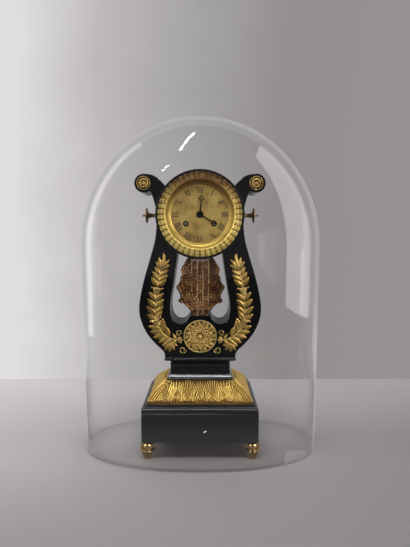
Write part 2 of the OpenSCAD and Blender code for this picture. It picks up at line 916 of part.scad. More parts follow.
module minute_hand() {
    color(blued)
        layer([0, 0], minute_hand_y)
            rotate(-minute_rest)
                hand_shape(minute_hand_length, 0.745 * minute_hand_length, 5.2, 4.3, 4.2,
                           cannon_outer + 0.02);
}

module hour_hand() {
    color(blued)
        layer([0, 0], hour_hand_y)
            rotate(-120 - minute_rest / 12)
                hand_shape(hour_hand_length, 0.83 * hour_hand_length, 4.6, 3.8, 5.4, hour_outer + 0.02);
}

module hand_nut() {
    color(blued)
        difference() {
            turned([0, 0], minute_hand_y[0])
                polygon([[0, 0], [3.2, 0], [3, 1], [1.9, 2], [0, 2.4]]);
            rod([0, 0], slow_arbor + 0.02, minute_hand_y[0] - 1.5, minute_hand_y[0] + 1);
        }
}

module movement_plate(front, back, holes) {
    color(brass)
        difference() {
            rod([0, 0], plate_radius, front, back);
            for (a = holes)
                rod(a[0], a[1] + running, front - 1, back + 1);
        }
}

module front_plate() {
    movement_plate(front_plate_front, front_plate_back, concat(plate_arbors, [
        [minute_at, fast_arbor], [going_click_at, click_pivot], [strike_click_at, click_pivot]]));
}

module back_plate() {
    movement_plate(back_plate_front, back_plate_back, concat(plate_arbors, [[hammer_at, click_pivot]]));
}

module pillars() {
    color(brass)
        for (p = pillar_places)
            turned(p, back_plate_front)
                polygon([
                    [0, 0], [pillar_radius, 0], [pillar_radius, 2], [2.2, 3], [2.2, 17], [pillar_radius, 18],
                    [pillar_radius, 20], [2.2, 21], [2.2, 35], [pillar_radius, 36],
                    [pillar_radius, back_plate_front - front_plate_back],
                    [0, back_plate_front - front_plate_back]]);
}

// Straps along the bore that tie the dial to the rear ring
module case_straps() {
    width = 8;
    color(brass)
        both_sides()
            translate([drum_bore - 2.8, dial_back, dial_z - width / 2])
                cube([1.4, drum_back - dial_back, width]);
}

module rear_ring() {
    color(brass)
        turned([0, 0], drum_back + 2.6)
            polygon([
                [drum_bore - 3.4, 0], [drum_bore + 4, 0], [drum_bore + 6.5, 0.8], [drum_bore + 8, 2],
                [drum_bore + 8, 2.6], [drum_bore - 3.4, 2.6]]);
}

// Toothed barrel with a floor and a cap, hollow for its spring
module barrel(place) {
    color(brass)
        difference() {
            union() {
                layer(place, barrel_teeth_y)
                    gear(barrel_teeth, barrel_module, 0);
                rod(place, 18.4, barrel_body_y[0], barrel_body_y[1]);
            }
            rod(place, 17, barrel_body_y[0], barrel_body_y[1] - 2);
            rod(place, winding_arbor + running, barrel_teeth_y[0] - 1, barrel_body_y[1] + 1);
        }
}

module mainspring(place) {
    color(blued)
        difference() {
            rod(place, 17 - fit, barrel_body_y[0], barrel_body_y[1] - 2);
            rod(place, 9, barrel_body_y[0] - 1, barrel_body_y[1]);
        }
}

// Winding arbor with a square end, the barrel's core and the ratchet wheel
module winding(place) {
    square_side = 4.2;
    lean = 0.7 * 360 / ratchet_teeth;
    color(steel) {
        rod(place, winding_arbor, front_plate_front - 4, back_plate_back + arbor_overhang);
        rod(place, 6, barrel_body_y[0] + 0.4, barrel_body_y[1] - 2.4);
        layer(place, [drum_front - 0.6, front_plate_front - 3])
            square(square_side, center = true);
        layer(place, ratchet_y)
            polygon([for (i = [0:ratchet_teeth - 1], k = [0, 1])
                (ratchet_radius - 1.1 * k) * toward(360 / ratchet_teeth * i + lean * (1 - k))]);
    }
}

// Click that stands against the ratchet wheel on a pivot in the front plate
module click(place, centre) {
    way = bearing(centre - place);
    color(steel) {
        layer(place, ratchet_y)
            union() {
                circle(2.2);
                rotate(way - 46)
                    polygon([[0, -2], [8.2, -0.9], [9.4, 0.4], [0, 2.2]]);
            }
        rod(place, click_pivot, ratchet_y[1] - 0.1, front_plate_back);
    }
}

module going_barrel() {
    barrel(going_barrel_at);
}

module going_mainspring() {
    mainspring(going_barrel_at);
}

module going_winding_arbor() {
    winding(going_barrel_at);
}

module going_click() {
    click(going_click_at, going_barrel_at);
}

module strike_barrel() {
    barrel(strike_barrel_at);
}

module strike_mainspring() {
    mainspring(strike_barrel_at);
}

module strike_winding_arbor() {
    winding(strike_barrel_at);
}

module strike_click() {
    click(strike_click_at, strike_barrel_at);
}

module intermediate_wheel() {
    color(brass) {
        layer(intermediate_at, slow_pinion_y)
            gear(intermediate_leaves, barrel_module, intermediate_turn, 4);
        layer(intermediate_at, intermediate_wheel_y)
            crossed_wheel(intermediate_teeth, wheel_module, 2.4, 3.2);
        through_arbor(intermediate_at, slow_arbor);
    }
}

module centre_wheel() {
    color(brass) {
        layer([0, 0], centre_pinion_y)
            gear(centre_leaves, wheel_module, centre_turn, 4);
        layer([0, 0], centre_wheel_y)
            crossed_wheel(centre_teeth, fast_module, 2.2, 3.2);
        rod([0, 0], slow_arbor, minute_hand_y[0] - 1.4, back_plate_back + arbor_overhang);
    }
}

module third_wheel() {
    color(brass) {
        layer(third_at, third_pinion_y)
            gear(third_leaves, fast_module, third_turn, 4);
        layer(third_at, third_wheel_y)
            crossed_wheel(third_teeth, third_module, 1.8, 2.4);
        through_arbor(third_at, fast_arbor);
    }
}

module escape_wheel() {
    tooth = 360 / escape_teeth;
    color(brass) {
        layer(escape_at, escape_pinion_y)
            gear(escape_leaves, third_module, escape_turn, 4);
        layer(escape_at, escape_wheel_y)
            difference() {
                polygon([for (i = [0:escape_teeth - 1], k = [0, 1])
                    (escape_radius - 1.1 * k) * toward(tooth * (i + 0.35 * k))]);
                difference() {
                    circle(5.6);
                    circle(2);
                    for (i = [0:4])
                        rotate(72 * i)
                            translate([0, -0.6])
                                square([6, 1.2]);
                }
            }
        through_arbor(escape_at, light_arbor);
    }
}

crutch_length = 24;
anchor_hub = 2.4;
anchor_arm = [9.6, 1.8];
pallet = [1.6, 1.4];
pallet_gap = 0.9;
pallet_angle = 127.6;

// Anchor with two pallets, its arbor and the crutch that steers the pendulum rod
module anchor() {
    way = bearing(escape_at - anchor_at);
    color(steel) {
        layer(anchor_at, anchor_y)
            rotate(way)
                union() {
                    circle(anchor_hub);
                    for (side = [-1, 1]) {
                        rotate(side * 60)
                            translate([0, -anchor_arm[1] / 2])
                                square(anchor_arm);
                        translate([anchor_distance, 0])
                            rotate(side * pallet_angle)
                                translate([escape_radius + pallet_gap, -pallet[1] / 2])
                                    square(pallet);
                    }
                }
        rod(anchor_at, fast_arbor, front_plate_front - arbor_overhang, cock_y[1]);
        layer(anchor_at, crutch_y)
            union() {
                circle(2.2);
                translate([-0.8, -crutch_length])
                    square([1.6, crutch_length]);
            }
        for (side = [-1, 1])
            rod(anchor_at + [side * (rod_diameter / 2 + 0.95), -crutch_length + 1], 0.7,
                crutch_y[0], pendulum_y + 2);
        layer(anchor_at, crutch_y)
            translate([-rod_diameter / 2 - 1.6, -crutch_length])
                square([rod_diameter + 3.2, 2]);
    }
}

stud_rise = 6;

// Bridge on the back plate: bears the anchor's arbor and the suspension
module back_cock() {
    half = 15;
    foot_drop = 5;
    color(brass)
        difference() {
            union() {
                layer(anchor_at, cock_y)
                    polygon([
                        [-half - 3, -foot_drop - 3], [-half + 3, -foot_drop - 3], [-4, -3], [4, -3],
                        [half - 3, -foot_drop - 3], [half + 3, -foot_drop - 3], [half + 3, -foot_drop + 2],
                        [4, stud_rise + 3], [-4, stud_rise + 3], [-half - 3, -foot_drop + 2]]);
                for (side = [-1, 1])
                    rod(anchor_at + [side * half, -foot_drop], 2.4, back_plate_back, cock_y[0] + 1);
                rod(anchor_at + [0, stud_rise], 1.7, cock_y[1] - 1, pendulum_y + 1.2);
            }
            rod(anchor_at, fast_arbor + running, cock_y[0] - 1, cock_y[1] + 1);
        }
}

module suspension_spring() {
    hang = anchor_at + [0, stud_rise];
    color(steel) {
        difference() {
            layer(anchor_at, [pendulum_y - 0.5, pendulum_y + 0.5])
                union() {
                    translate([0, stud_rise])
                        circle(2.7);
                    translate([-1, 0])
                        square([2, stud_rise]);
                    circle(1.3);
                }
            rod(hang, 1.7 + 0.03, pendulum_y - 2, pendulum_y + 2);
        }
        rod(anchor_at, pin_radius, pendulum_y - 2.4, pendulum_y + 2.4);
    }
}

// Rod with a forked hook that hangs on the suspension's pin
module pendulum_rod() {
    cheek = 0.9;
    inner = 0.8;
    foot = -pendulum_length - 38;
    color(brass)
        difference() {
            union() {
                for (side = [-1, 1])
                    layer(anchor_at, [pendulum_y + side * (inner + cheek / 2) - cheek / 2,
                                      pendulum_y + side * (inner + cheek / 2) + cheek / 2])
                        union() {
                            circle(2.2);
                            translate([-1, -9])
                                square([2, 9]);
                        }
                layer(anchor_at, [pendulum_y - inner - cheek, pendulum_y + inner + cheek])
                    translate([-1.2, -11])
                        square([2.4, 6]);
                translate([0, pendulum_y, pivot_z + foot])
                    cylinder(d = rod_diameter, h = -foot - 8);
            }
            rod(anchor_at, pin_radius + running, pendulum_y - 4, pendulum_y + 4);
        }
}

// Embossed cartouche: an outlined plate with a raised middle, hooked in front of the rod
module pendulum_bob() {
    back = pendulum_y - rod_diameter / 2;
    edge = curve(bob_edge, 5);
    color(bronze)
        difference() {
            union() {
                translate([0, 0, bob_z])
                    slab(back - bob_plate, back)
                        polygon(concat(edge, mirrored([for (i = [1:len(edge) - 2]) edge[i]])));
                for (side = [-1, 1])
                    translate([-4, back, bob_z + side * 24 - 3])
                        cube([8, rod_diameter + 1.6, 6]);
            }
            for (side = [-1, 1])
                translate([0, pendulum_y, bob_z + side * 24 - 4])
                    cylinder(d = rod_diameter + 0.04, h = 8);
        }
}

module cannon_pinion() {
    color(steel)
        difference() {
            union() {
                layer([0, 0], cannon_teeth_y)
                    gear(cannon_leaves, cannon_module, cannon_turn, 4);
                rod([0, 0], cannon_outer, minute_hand_y[0], front_plate_front - 0.3);
            }
            rod([0, 0], slow_arbor + 0.02, minute_hand_y[0] - 1, front_plate_front + 1);
        }
}

module minute_wheel() {
    color(brass) {
        layer(minute_at, minute_wheel_y)
            crossed_wheel(minute_teeth, cannon_module, 1.8, 3);
        layer(minute_at, minute_pinion_y)
            gear(minute_leaves, hour_module, 0, 4);
        rod(minute_at, fast_arbor, minute_pinion_y[0] - 1.2, front_plate_back);
    }
}

module hour_wheel() {
    color(brass)
        difference() {
            union() {
                layer([0, 0], hour_wheel_y)
                    gear(hour_teeth, hour_module, hour_turn);
                rod([0, 0], hour_outer, hour_hand_y[0], hour_wheel_y[1]);
            }
            rod([0, 0], cannon_outer + running, hour_hand_y[0] - 1, hour_wheel_y[1] + 1);
        }
}

module strike_second_wheel() {
    color(brass) {
        layer(second_at, slow_pinion_y)
            gear(second_leaves, barrel_module, second_turn, 4);
        layer(second_at, second_wheel_y)
            crossed_wheel(second_teeth, wheel_module, 2.2, 3);
        rod(second_at, slow_arbor, front_plate_front - arbor_overhang, count_wheel_y[1] + 1);
    }
}

module pin_wheel() {
    pins = 8;
    color(brass) {
        layer(pin_at, pin_pinion_y)
            gear(pin_leaves, wheel_module, pin_turn, 4);
        layer(pin_at, pin_wheel_y)
            crossed_wheel(pin_teeth, fast_module, 2.4, 2.6);
        for (i = [0:pins - 1])
            rod(pin_at + 8 * toward(360 / pins * i), 0.5, pin_wheel_y[0] - 2, pin_wheel_y[0] + 0.5);
        through_arbor(pin_at, fast_arbor);
    }
}

module locking_wheel() {
    color(brass) {
        layer(locking_at, locking_pinion_y)
            gear(locking_leaves, fast_module, locking_turn, 4);
        layer(locking_at, locking_wheel_y)
            crossed_wheel(locking_teeth, locking_module, 1.6, 2.2);
        rod(locking_at + [5.4, 0], 0.5, locking_wheel_y[1] - 0.5, locking_wheel_y[1] + 2);
        through_arbor(locking_at, fast_arbor);
    }
}

module warning_wheel() {
    color(brass) {
        layer(warning_at, warning_pinion_y)
            gear(warning_leaves, locking_module, warning_turn, 4);
        layer(warning_at, warning_wheel_y)
            crossed_wheel(warning_teeth, third_module, 1.4, 1.8);
        through_arbor(warning_at, light_arbor);
    }
}

module fly() {
    blade = 4.7;
    color(brass) {
        layer(fly_at, fly_pinion_y)
            gear(fly_leaves, third_module, fly_turn, 4);
        layer(fly_at, fly_blade_y)
            square([2 * blade, 0.8], center = true);
        through_arbor(fly_at, light_arbor);
    }
}

// Count wheel with notches that part the hours one to twelve
module count_wheel() {
    rim = 14;
    color(brass)
        difference() {
            layer(second_at, count_wheel_y)
                difference() {
                    circle(rim, $fn = fine);
                    for (hour = [1:12])
                        rotate(360 * (hour * (hour + 1) / 2 + hour) / 90)
                            translate([rim - 1.4, -0.45])
                                square([3, 0.9]);
                    for (i = [0:3])
                        rotate(90 * i + 45)
                            translate([7.4, 0])
                                circle(3);
                }
            rod(second_at, slow_arbor + 0.02, count_wheel_y[0] - 1, count_wheel_y[1] + 2);
        }
}

hammer_head_at = [-11, -24.6];

// Hammer on a pivot in the back plate, its head just inside the bell
module hammer() {
    arm = hammer_head_at - hammer_at;
    color(steel) {
        rod(hammer_at, click_pivot, back_plate_front, back_plate_back + 4);
        layer(hammer_at, [back_plate_back + 1, back_plate_back + 2.6])
            union() {
                circle(2.8);
                rotate(bearing(arm))
                    translate([0, -1])
                        square([norm(arm) + 1, 2]);
            }
        rod(hammer_head_at, 1, back_plate_back + 1, bell_mouth + 1);
        rod(hammer_head_at, 2.6, bell_mouth - 1, bell_mouth + 5);
    }
}

module bell() {
    r = bell_radius;
    d = bell_depth;
    w = bell_wall;
    color(steel)
        difference() {
            turned([0, 0], bell_mouth + d)
                polygon([
                    [0, 0], [0.30 * r, 0], [0.55 * r, 0.06 * d], [0.75 * r, 0.2 * d], [0.88 * r, 0.42 * d],
                    [0.96 * r, 0.72 * d], [r, d], [r - w, d], [0.96 * r - w, 0.72 * d],
                    [0.88 * r - w, 0.42 * d + 0.4], [0.75 * r - 0.8, 0.2 * d + w], [0.55 * r, 0.06 * d + w],
                    [0.30 * r, w], [0, w]]);
            rod([0, 0], 2 + running, bell_mouth, bell_mouth + d + 1);
        }
}

// Post from the back plate into the bell, with an arm and the bell's stud
module bell_stand() {
    arm_y = [bell_mouth + 5.5, bell_mouth + 10];
    crown = bell_mouth + bell_depth - bell_wall;
    color(brass) {
        rod(bell_post_at, 2.8, back_plate_back, arm_y[1]);
        layer([0, 0], arm_y)
            union() {
                circle(4.2);
                rotate(bearing(bell_post_at))
                    translate([0, -2.4])
                        square([norm(bell_post_at), 4.8]);
                translate(bell_post_at)
                    circle(2.8);
            }
        rod([0, 0], 4.2, arm_y[1] - 1, crown);
        rod([0, 0], 2, crown - 1, bell_mouth + bell_depth + 2.8);
    }
}

module bell_nut() {
    top = bell_mouth + bell_depth;
    color(blued)
        difference() {
            turned([0, 0], top + 3.4)
                polygon([[0, 0], [2.4, 0], [4.4, 1.2], [4.8, 2.2], [4.8, 3.4], [0, 3.4]]);
            rod([0, 0], 2 + 0.03, top - 1, top + 2.9);
        }
}

dome_sides = 56;
dome_rings = 11;
dome_power = 2.3;

// Ring of points of a rounded-oval plan at one height
function oval(half_x, half_y, z) =
    [for (i = [0:dome_sides - 1])
        let (a = 360 * i / dome_sides)
        [half_x * sign(cos(a)) * pow(abs(cos(a)), 2 / dome_power),
         half_y * sign(sin(a)) * pow(abs(sin(a)), 2 / dome_power), z]];

// Rings from the rim up the straight wall and over the top
function dome_points(inset) =
    let (half_x = dome_width / 2 - inset)
    let (half_y = dome_depth / 2 - inset)
    let (rise = dome_height - dome_wall_height - inset)
    concat(
        oval(half_x, half_y, 0),
        [for (k = [0:dome_rings - 1], p = oval(half_x * cos(90 * k / dome_rings),
            half_y * cos(90 * k / dome_rings), dome_wall_height + rise * sin(90 * k / dome_rings))) p],
        [[0, 0, dome_wall_height + rise]]);

module dome_skin(inset) {
    rows = dome_rings;
    n = dome_sides;
    last = (rows + 1) * n;
    polyhedron(
        points = dome_points(inset),
        faces = concat(
            [[for (i = [0:n - 1]) i]],
            [for (k = [0:rows - 1], i = [0:n - 1])
                [k * n + i, (k + 1) * n + i, (k + 1) * n + (i + 1) % n, k * n + (i + 1) % n]],
            [for (i = [0:n - 1]) [rows * n + i, last, rows * n + (i + 1) % n]]));
}

module glass_dome() {
    color([0.85, 0.92, 0.95, 0.25])
        difference() {
            dome_skin(0);
            translate([0, 0, -0.01])
                dome_skin(glass);
        }
}

plinth_box();
bottom_board();
plinth_cap();
feet();
gilt_skirt();
skirt_core();
pedestal();
neck_moulding();
tie_bolt();
lyre_body();
dial_drum();
scroll_rosettes();
side_pegs();
left_laurel();
right_laurel();
medallion();
medallion_curls();
string_rail();
strings();
bezel();
dial_plate();
minute_hand();
hour_hand();
hand_nut();
front_plate();
back_plate();
pillars();
case_straps();
rear_ring();
going_barrel();
going_mainspring();
going_winding_arbor();
going_click();
intermediate_wheel();
centre_wheel();
third_wheel();
escape_wheel();
anchor();
back_cock();
suspension_spring();
pendulum_rod();
pendulum_bob();
cannon_pinion();
minute_wheel();
hour_wheel();
strike_barrel();
strike_mainspring();
strike_winding_arbor();
strike_click();
strike_second_wheel();
pin_wheel();
locking_wheel();
warning_wheel();
fly();
count_wheel();
hammer();
bell();
bell_stand();
bell_nut();
glass_dome();
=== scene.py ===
import json
import math
import bmesh
import bpy
import numpy as np
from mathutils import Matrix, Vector
from mathutils.geometry import tessellate_polygon


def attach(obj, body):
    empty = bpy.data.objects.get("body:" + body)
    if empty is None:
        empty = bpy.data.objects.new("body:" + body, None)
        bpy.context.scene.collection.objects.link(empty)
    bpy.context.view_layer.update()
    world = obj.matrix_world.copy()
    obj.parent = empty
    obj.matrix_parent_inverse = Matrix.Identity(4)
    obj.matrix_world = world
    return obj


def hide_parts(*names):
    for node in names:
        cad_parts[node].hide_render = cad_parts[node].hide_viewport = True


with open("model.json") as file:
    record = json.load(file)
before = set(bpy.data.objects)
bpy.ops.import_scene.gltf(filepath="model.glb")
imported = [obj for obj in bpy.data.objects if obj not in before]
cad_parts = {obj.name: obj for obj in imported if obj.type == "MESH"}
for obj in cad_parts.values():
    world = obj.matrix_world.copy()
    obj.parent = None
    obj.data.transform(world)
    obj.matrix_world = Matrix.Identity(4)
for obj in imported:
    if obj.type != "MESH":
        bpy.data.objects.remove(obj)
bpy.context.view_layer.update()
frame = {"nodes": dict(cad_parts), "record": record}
mm = 0.001
mergeGap = 1e-6  # metres
bodies = frame["record"]["behaviour"]["bodies"]
bodyOf = {node: body for body, members in bodies.items() for node in members}
print("frame loaded,", len(frame["nodes"]), "nodes")


def addObject(name, data):
    made = bpy.data.objects.new(name, data)
    bpy.context.scene.collection.objects.link(made)
    return made


# camera a little below the middle of the dial, looking slightly down
cameraView = dict(place=(0.008, -0.693, 0.360), tilt=84.79, lens=27.05, sensor=36)
cameraData = bpy.data.cameras.new("camera")
cameraData.lens = cameraView["lens"]
cameraData.sensor_width = cameraView["sensor"]
camera = addObject("camera", cameraData)
camera.location = cameraView["place"]
camera.rotation_euler = (math.radians(cameraView["tilt"]), 0, 0)
bpy.context.scene.camera = camera
bpy.context.scene.view_settings.view_transform = "Standard"


# cubic through each pair of points, led by the neighbours
def smoothCurve(points, steps):
    p = np.asarray(points, float)
    q = np.vstack([p[:1], p, p[-1:]])
    a, b, c, d = (q[i:len(p) - 1 + i, None] for i in range(4))
    t = (np.arange(steps) / steps)[None, :, None]
    line = 0.5 * (2 * b + (c - a) * t + (2 * a - 5 * b + 4 * c - d) * t**2 + (3 * b - a - 3 * c + d) * t**3)
    return np.vstack([line.reshape(-1, p.shape[1]), p[-1:]])


# each inner corner becomes a short parabola that starts and ends at most ease away from it
def easedLine(points, ease, steps=4):
    p = np.asarray(points, float)
    at = p[1:-1]
    legs = [q - at for q in (p[:-2], p[2:])]
    sizes = [np.linalg.norm(leg, axis=1, keepdims=True) for leg in legs]
    a, b = (at + leg / size * np.minimum(ease, 0.45 * size) for leg, size in zip(legs, sizes))
    t = np.linspace(0, 1, steps)[None, :, None]
    bend = (1 - t) ** 2 * a[:, None] + 2 * t * (1 - t) * at[:, None] + t**2 * b[:, None]
    return np.vstack([p[:1], bend.reshape(-1, p.shape[1]), p[-1:]])


# points at even distances along a line
def evenly(points, count):
    p = np.asarray(points, float)
    run = np.concatenate([[0], np.cumsum(np.linalg.norm(np.diff(p, axis=0), axis=1))])
    at = np.linspace(0, run[-1], count)
    return np.stack([np.interp(at, run, p[:, i]) for i in range(p.shape[1])], 1)


# angles of even steps round a circle
def fullTurn(count):
    return np.arange(count) * 2 * np.pi / count


# a value held between 0 and 1
def unit(value):
    return np.clip(value, 0, 1)


# bell curve over x that is 1 at its middle
def bell(x, middle, width):
    return np.exp(-((x - middle) / width) ** 2)


# quads between the neighbours in a grid: its columns close into rings, its rows only where wrap is set
def gridFaces(rows, columns, wrap=False):
    a, b = np.meshgrid(np.arange(rows if wrap else rows - 1), np.arange(columns), indexing="ij")
    c, d = (a + 1) % rows, (b + 1) % columns
    return np.stack([a * columns + b, c * columns + b, c * columns + d, a * columns + d], -1).reshape(-1, 4)


# one grid, or a stack of equal grids, as a part: points, quads and how far each point stands proud
def surface(x, y, z, relief=0.5, wrap=False):
    p = np.stack(np.broadcast_arrays(x, y, z), -1)
    rows, columns = p.shape[-3:-1]
    stack = p.reshape(-1, rows * columns, 3)
    faces = gridFaces(rows, columns, wrap)[None] + (np.arange(len(stack)) * rows * columns)[:, None, None]
    return stack.reshape(-1, 3), faces.reshape(-1, 4), np.broadcast_to(relief, p.shape[:-1]).reshape(-1)


# a part scaled and then shifted
def moved(part, shift, scale=(1, 1, 1)):
    points, faces, relief = part
    return points * np.array(scale) + shift, faces, relief


# joins closed parts into one mesh with its faces outwards, and lets it ride with a body
def makePiece(name, parts, nodes, material, sharp, body=None):
    points, faces, relief, base = [], [], [], 0
    for p, f, r in parts:
        fan = [(p[f[:, 0]], p[f[:, i]], p[f[:, i + 1]]) for i in range(1, f.shape[1] - 1)]
        volume = sum(np.einsum("ij,ij->i", a, np.cross(b, c)).sum() for a, b, c in fan)
        faces += ((f if volume >= 0 else f[:, ::-1]) + base).tolist()
        points.append(p)
        relief.append(r)
        base += len(p)
    mesh = bpy.data.meshes.new(name)
    mesh.from_pydata(np.vstack(points) * mm, [], faces)
    proud = mesh.attributes.new("relief", "FLOAT", "POINT")
    proud.data.foreach_set("value", np.concatenate(relief).astype(np.float32))
    shell = bmesh.new()
    shell.from_mesh(mesh)
    bmesh.ops.remove_doubles(shell, verts=shell.verts, dist=mergeGap)
    shell.to_mesh(mesh)
    shell.free()
    mesh.shade_smooth()
    mesh.set_sharp_from_angle(angle=math.radians(sharp))
    mesh.materials.append(material)
    piece = addObject(name, mesh)
    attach(piece, body or bodyOf[nodes[0]])
    if nodes:
        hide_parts(*nodes)
    return piece


# profile of (radius, height) turned round an axis that points up, to the front or to a side
def turnedForm(profile, axis, centre, count, relief=0.5, wrap=False):
    r, h = np.asarray(profile, float).T[:, :, None]
    a = fullTurn(count)
    x, y = r * np.cos(a), r * np.sin(a)
    axes = dict(up=(x, y, h), front=(x, -h, y), right=(h, x, y), left=(-h, x, y))
    return surface(*(c + v for c, v in zip(centre, axes[axis])), relief, wrap)


# profile of (inset, height) carried round a rectangle whose corners are slightly rounded
def mouldedBlock(halfX, halfY, profile, corner=0.9, arc=4, wrap=False):
    inset, height = np.asarray(profile, float).T[:, :, None]
    quarter = np.repeat(np.arange(4), arc)
    angle = quarter * np.pi / 2 + np.tile(np.linspace(0, np.pi / 2, arc), 4)
    sideX, sideY = np.array([1, -1, -1, 1])[quarter], np.array([1, 1, -1, -1])[quarter]
    hx, hy = np.maximum(halfX - inset, 0), np.maximum(halfY - inset, 0)
    r = np.minimum(corner, np.minimum(hx, hy))
    x, y = sideX * (hx - r) + r * np.cos(angle), sideY * (hy - r) + r * np.sin(angle)
    return surface(x, y, height, wrap=wrap)


# round section carried along a line of (x, z) that lies on a face; its ends taper to points
def tubeOnFace(line, radius, face, sink=0.3, around=10):
    p = np.asarray(line, float)
    way = np.gradient(p, axis=0)
    way /= np.linalg.norm(way, axis=1, keepdims=True)
    s = np.linspace(0, 1, len(p))
    r = radius * unit(np.minimum(s, 1 - s) * len(p) / 3)[:, None] ** 0.5
    a = fullTurn(around)
    x = p[:, :1] - way[:, 1:] * r * np.cos(a)
    z = p[:, 1:] + way[:, :1] * r * np.cos(a)
    return surface(x, face - (radius - sink) - r * np.sin(a), z, 0.5 + 0.5 * np.sin(a))


# values for a number of places, shaped to spread over the grid at each
def perPlace(count, *values):
    return [np.broadcast_to(np.asarray(v, float), count)[:, None, None] for v in values]


# the point that lies ahead of (x, z) on a bearing in degrees, and to its left
def onBearing(x, z, angle, ahead, aside):
    turn = np.radians(angle)
    return x + ahead * np.cos(turn) - aside * np.sin(turn), z + ahead * np.sin(turn) + aside * np.cos(turn)


# leaves lying on a face: s runs from foot to tip and a runs round the section
# full = sin(pi * s^0.8)^0.8, half width = width / 2 * full, height = crown * full^0.6 * sin(a)^0.7,
# with a rib and slanting veins
def leafForms(place, angle, length, width, face, lift=0.0, crown=1.5, rise=0.6, along=13, around=14):
    place = np.atleast_2d(np.asarray(place, float))
    x, z, angle, length, width, lift = perPlace(len(place), *place.T, angle, length, width, lift)
    s = np.linspace(0, 1, along)[:, None]
    a = fullTurn(around)
    full = np.sin(np.pi * s**0.8) ** 0.8
    across = np.cos(a)
    rib = 0.45 * bell(across, 0, 0.22)
    veins = 0.16 * np.cos(2 * np.pi * (4.5 * s - 1.2 * np.abs(across)))
    tall = crown * full**0.6 * unit(np.sin(a)) ** 0.7 * (0.75 + rib + veins)
    x, z = onBearing(x, z, angle, length * s, width / 2 * full * across)
    return surface(x, face - lift - rise * s**2 - tall, z, tall / (1.3 * crown))


# small beads on a face, flattened towards it
def beadForms(place, radius, face, lift=0.0, rings=7, around=10):
    place = np.atleast_2d(np.asarray(place, float))
    x, z, radius, lift = perPlace(len(place), *place.T, radius, lift)
    b = np.linspace(0, np.pi, rings)[:, None]
    a = fullTurn(around)
    r, y = radius * np.sin(b), face - lift - 0.9 * radius * np.cos(b)
    return surface(x + r * np.cos(a), y, z + r * np.sin(a), 0.5 + 0.5 * np.cos(b))


# each input takes a link from a socket, or a plain value
def feed(node, inputs):
    for key, value in inputs.items():
        if isinstance(value, bpy.types.NodeSocket):
            node.id_data.links.new(value, node.inputs[key])
        else:
            node.inputs[key].default_value = value
    return node


# a new node in the tree that another node or socket belongs to
def addNode(near, kind, inputs=None, **settings):
    made = near.id_data.nodes.new("ShaderNode" + kind)
    for key, value in settings.items():
        setattr(made, key, value)
    return feed(made, inputs or {})


# a new material and its main shader
def newFinish(name, inputs):
    material = bpy.data.materials.new(name)
    material.use_nodes = True
    return material, feed(material.node_tree.nodes["Principled BSDF"], inputs)


# colours over a value, from stops of (place, colour)
def colourRamp(value, stops):
    made = addNode(value, "ValToRGB", {"Fac": value})
    marks = made.color_ramp.elements
    for place, _ in stops[2:]:
        marks.new(place)
    for mark, (place, colour) in zip(marks, stops):
        mark.position = place
        mark.color = (*colour, 1)
    return made.outputs["Color"]


# a value carried from one range to another and held at its ends
def mapped(value, fromLow, fromHigh, low, high):
    limits = {"From Min": fromLow, "From Max": fromHigh, "To Min": low, "To Max": high}
    return addNode(value, "MapRange", {"Value": value, **limits}).outputs["Result"]


def objectPlace(near):
    return addNode(near, "TexCoord").outputs["Object"]


def axesOf(vector):
    return addNode(vector, "SeparateXYZ", {"Vector": vector}).outputs


# cloudy noise over the object's own places, finer along an axis where stretch is larger
def noise(near, scale, detail, stretch=(1, 1, 1)):
    place = addNode(near, "Mapping", {"Vector": objectPlace(near), "Scale": stretch}).outputs["Vector"]
    return addNode(near, "TexNoise", {"Vector": place, "Scale": scale, "Detail": detail}).outputs["Fac"]


def compute(operation, a, b=0.0):
    return addNode(a, "Math", {0: a, 1: b}, operation=operation).outputs[0]


def plus(a, b):
    return compute("ADD", a, b)


def times(a, b):
    return compute("MULTIPLY", a, b)


def bumped(height, strength, distance):
    inputs = {"Height": height, "Strength": strength, "Distance": distance}
    return addNode(height, "Bump", inputs).outputs["Normal"]


# colour a where share is 0 and b, a socket or three numbers, where it is 1
def mixedColour(share, a, b):
    b = b if isinstance(b, bpy.types.NodeSocket) else (*b, 1)
    return addNode(share, "Mix", {0: share, 6: a, 7: b}, data_type="RGBA").outputs[2]


def mixedShader(share, a, b):
    return addNode(share, "MixShader", {0: share, 1: a.outputs[0], 2: b.outputs[0]})


# makes a shader what the material shows
def show(shader):
    feed(shader.id_data.nodes["Material Output"], {"Surface": shader.outputs[0]})


# colour, a cloudy polish with a roughness between the two values of gloss, and a bump where there is one
def dress(shader, tone, cloud, gloss, bump=None):
    inputs = {"Base Color": tone, "Roughness": mapped(cloud, 0.3, 0.7, *gloss)}
    feed(shader, {**inputs, "Normal": bump} if bump else inputs)


# distance from a place, counted in an oval's half sizes; the oval leans about y by some degrees
def ovalDistance(near, place, size, lean=0):
    turn = (0, math.radians(lean), 0)
    inputs = {"Vector": objectPlace(near), "Location": place, "Rotation": turn, "Scale": size}
    inside = addNode(near, "Mapping", inputs, vector_type="TEXTURE").outputs["Vector"]
    return addNode(near, "VectorMath", {0: inside}, operation="LENGTH").outputs["Value"]


# a small loss in the polish: bare ground inside a slanting oval whose edge is broken by noise
def chipped(tone, chip):
    far = ovalDistance(tone, chip["place"], chip["size"], chip["lean"])
    ragged = plus(far, mapped(noise(tone, 900, 3), 0.3, 0.7, -0.45, 0.45))
    return mixedColour(mapped(ragged, 0.8, 1.05, 1, 0), tone, chip["colour"])


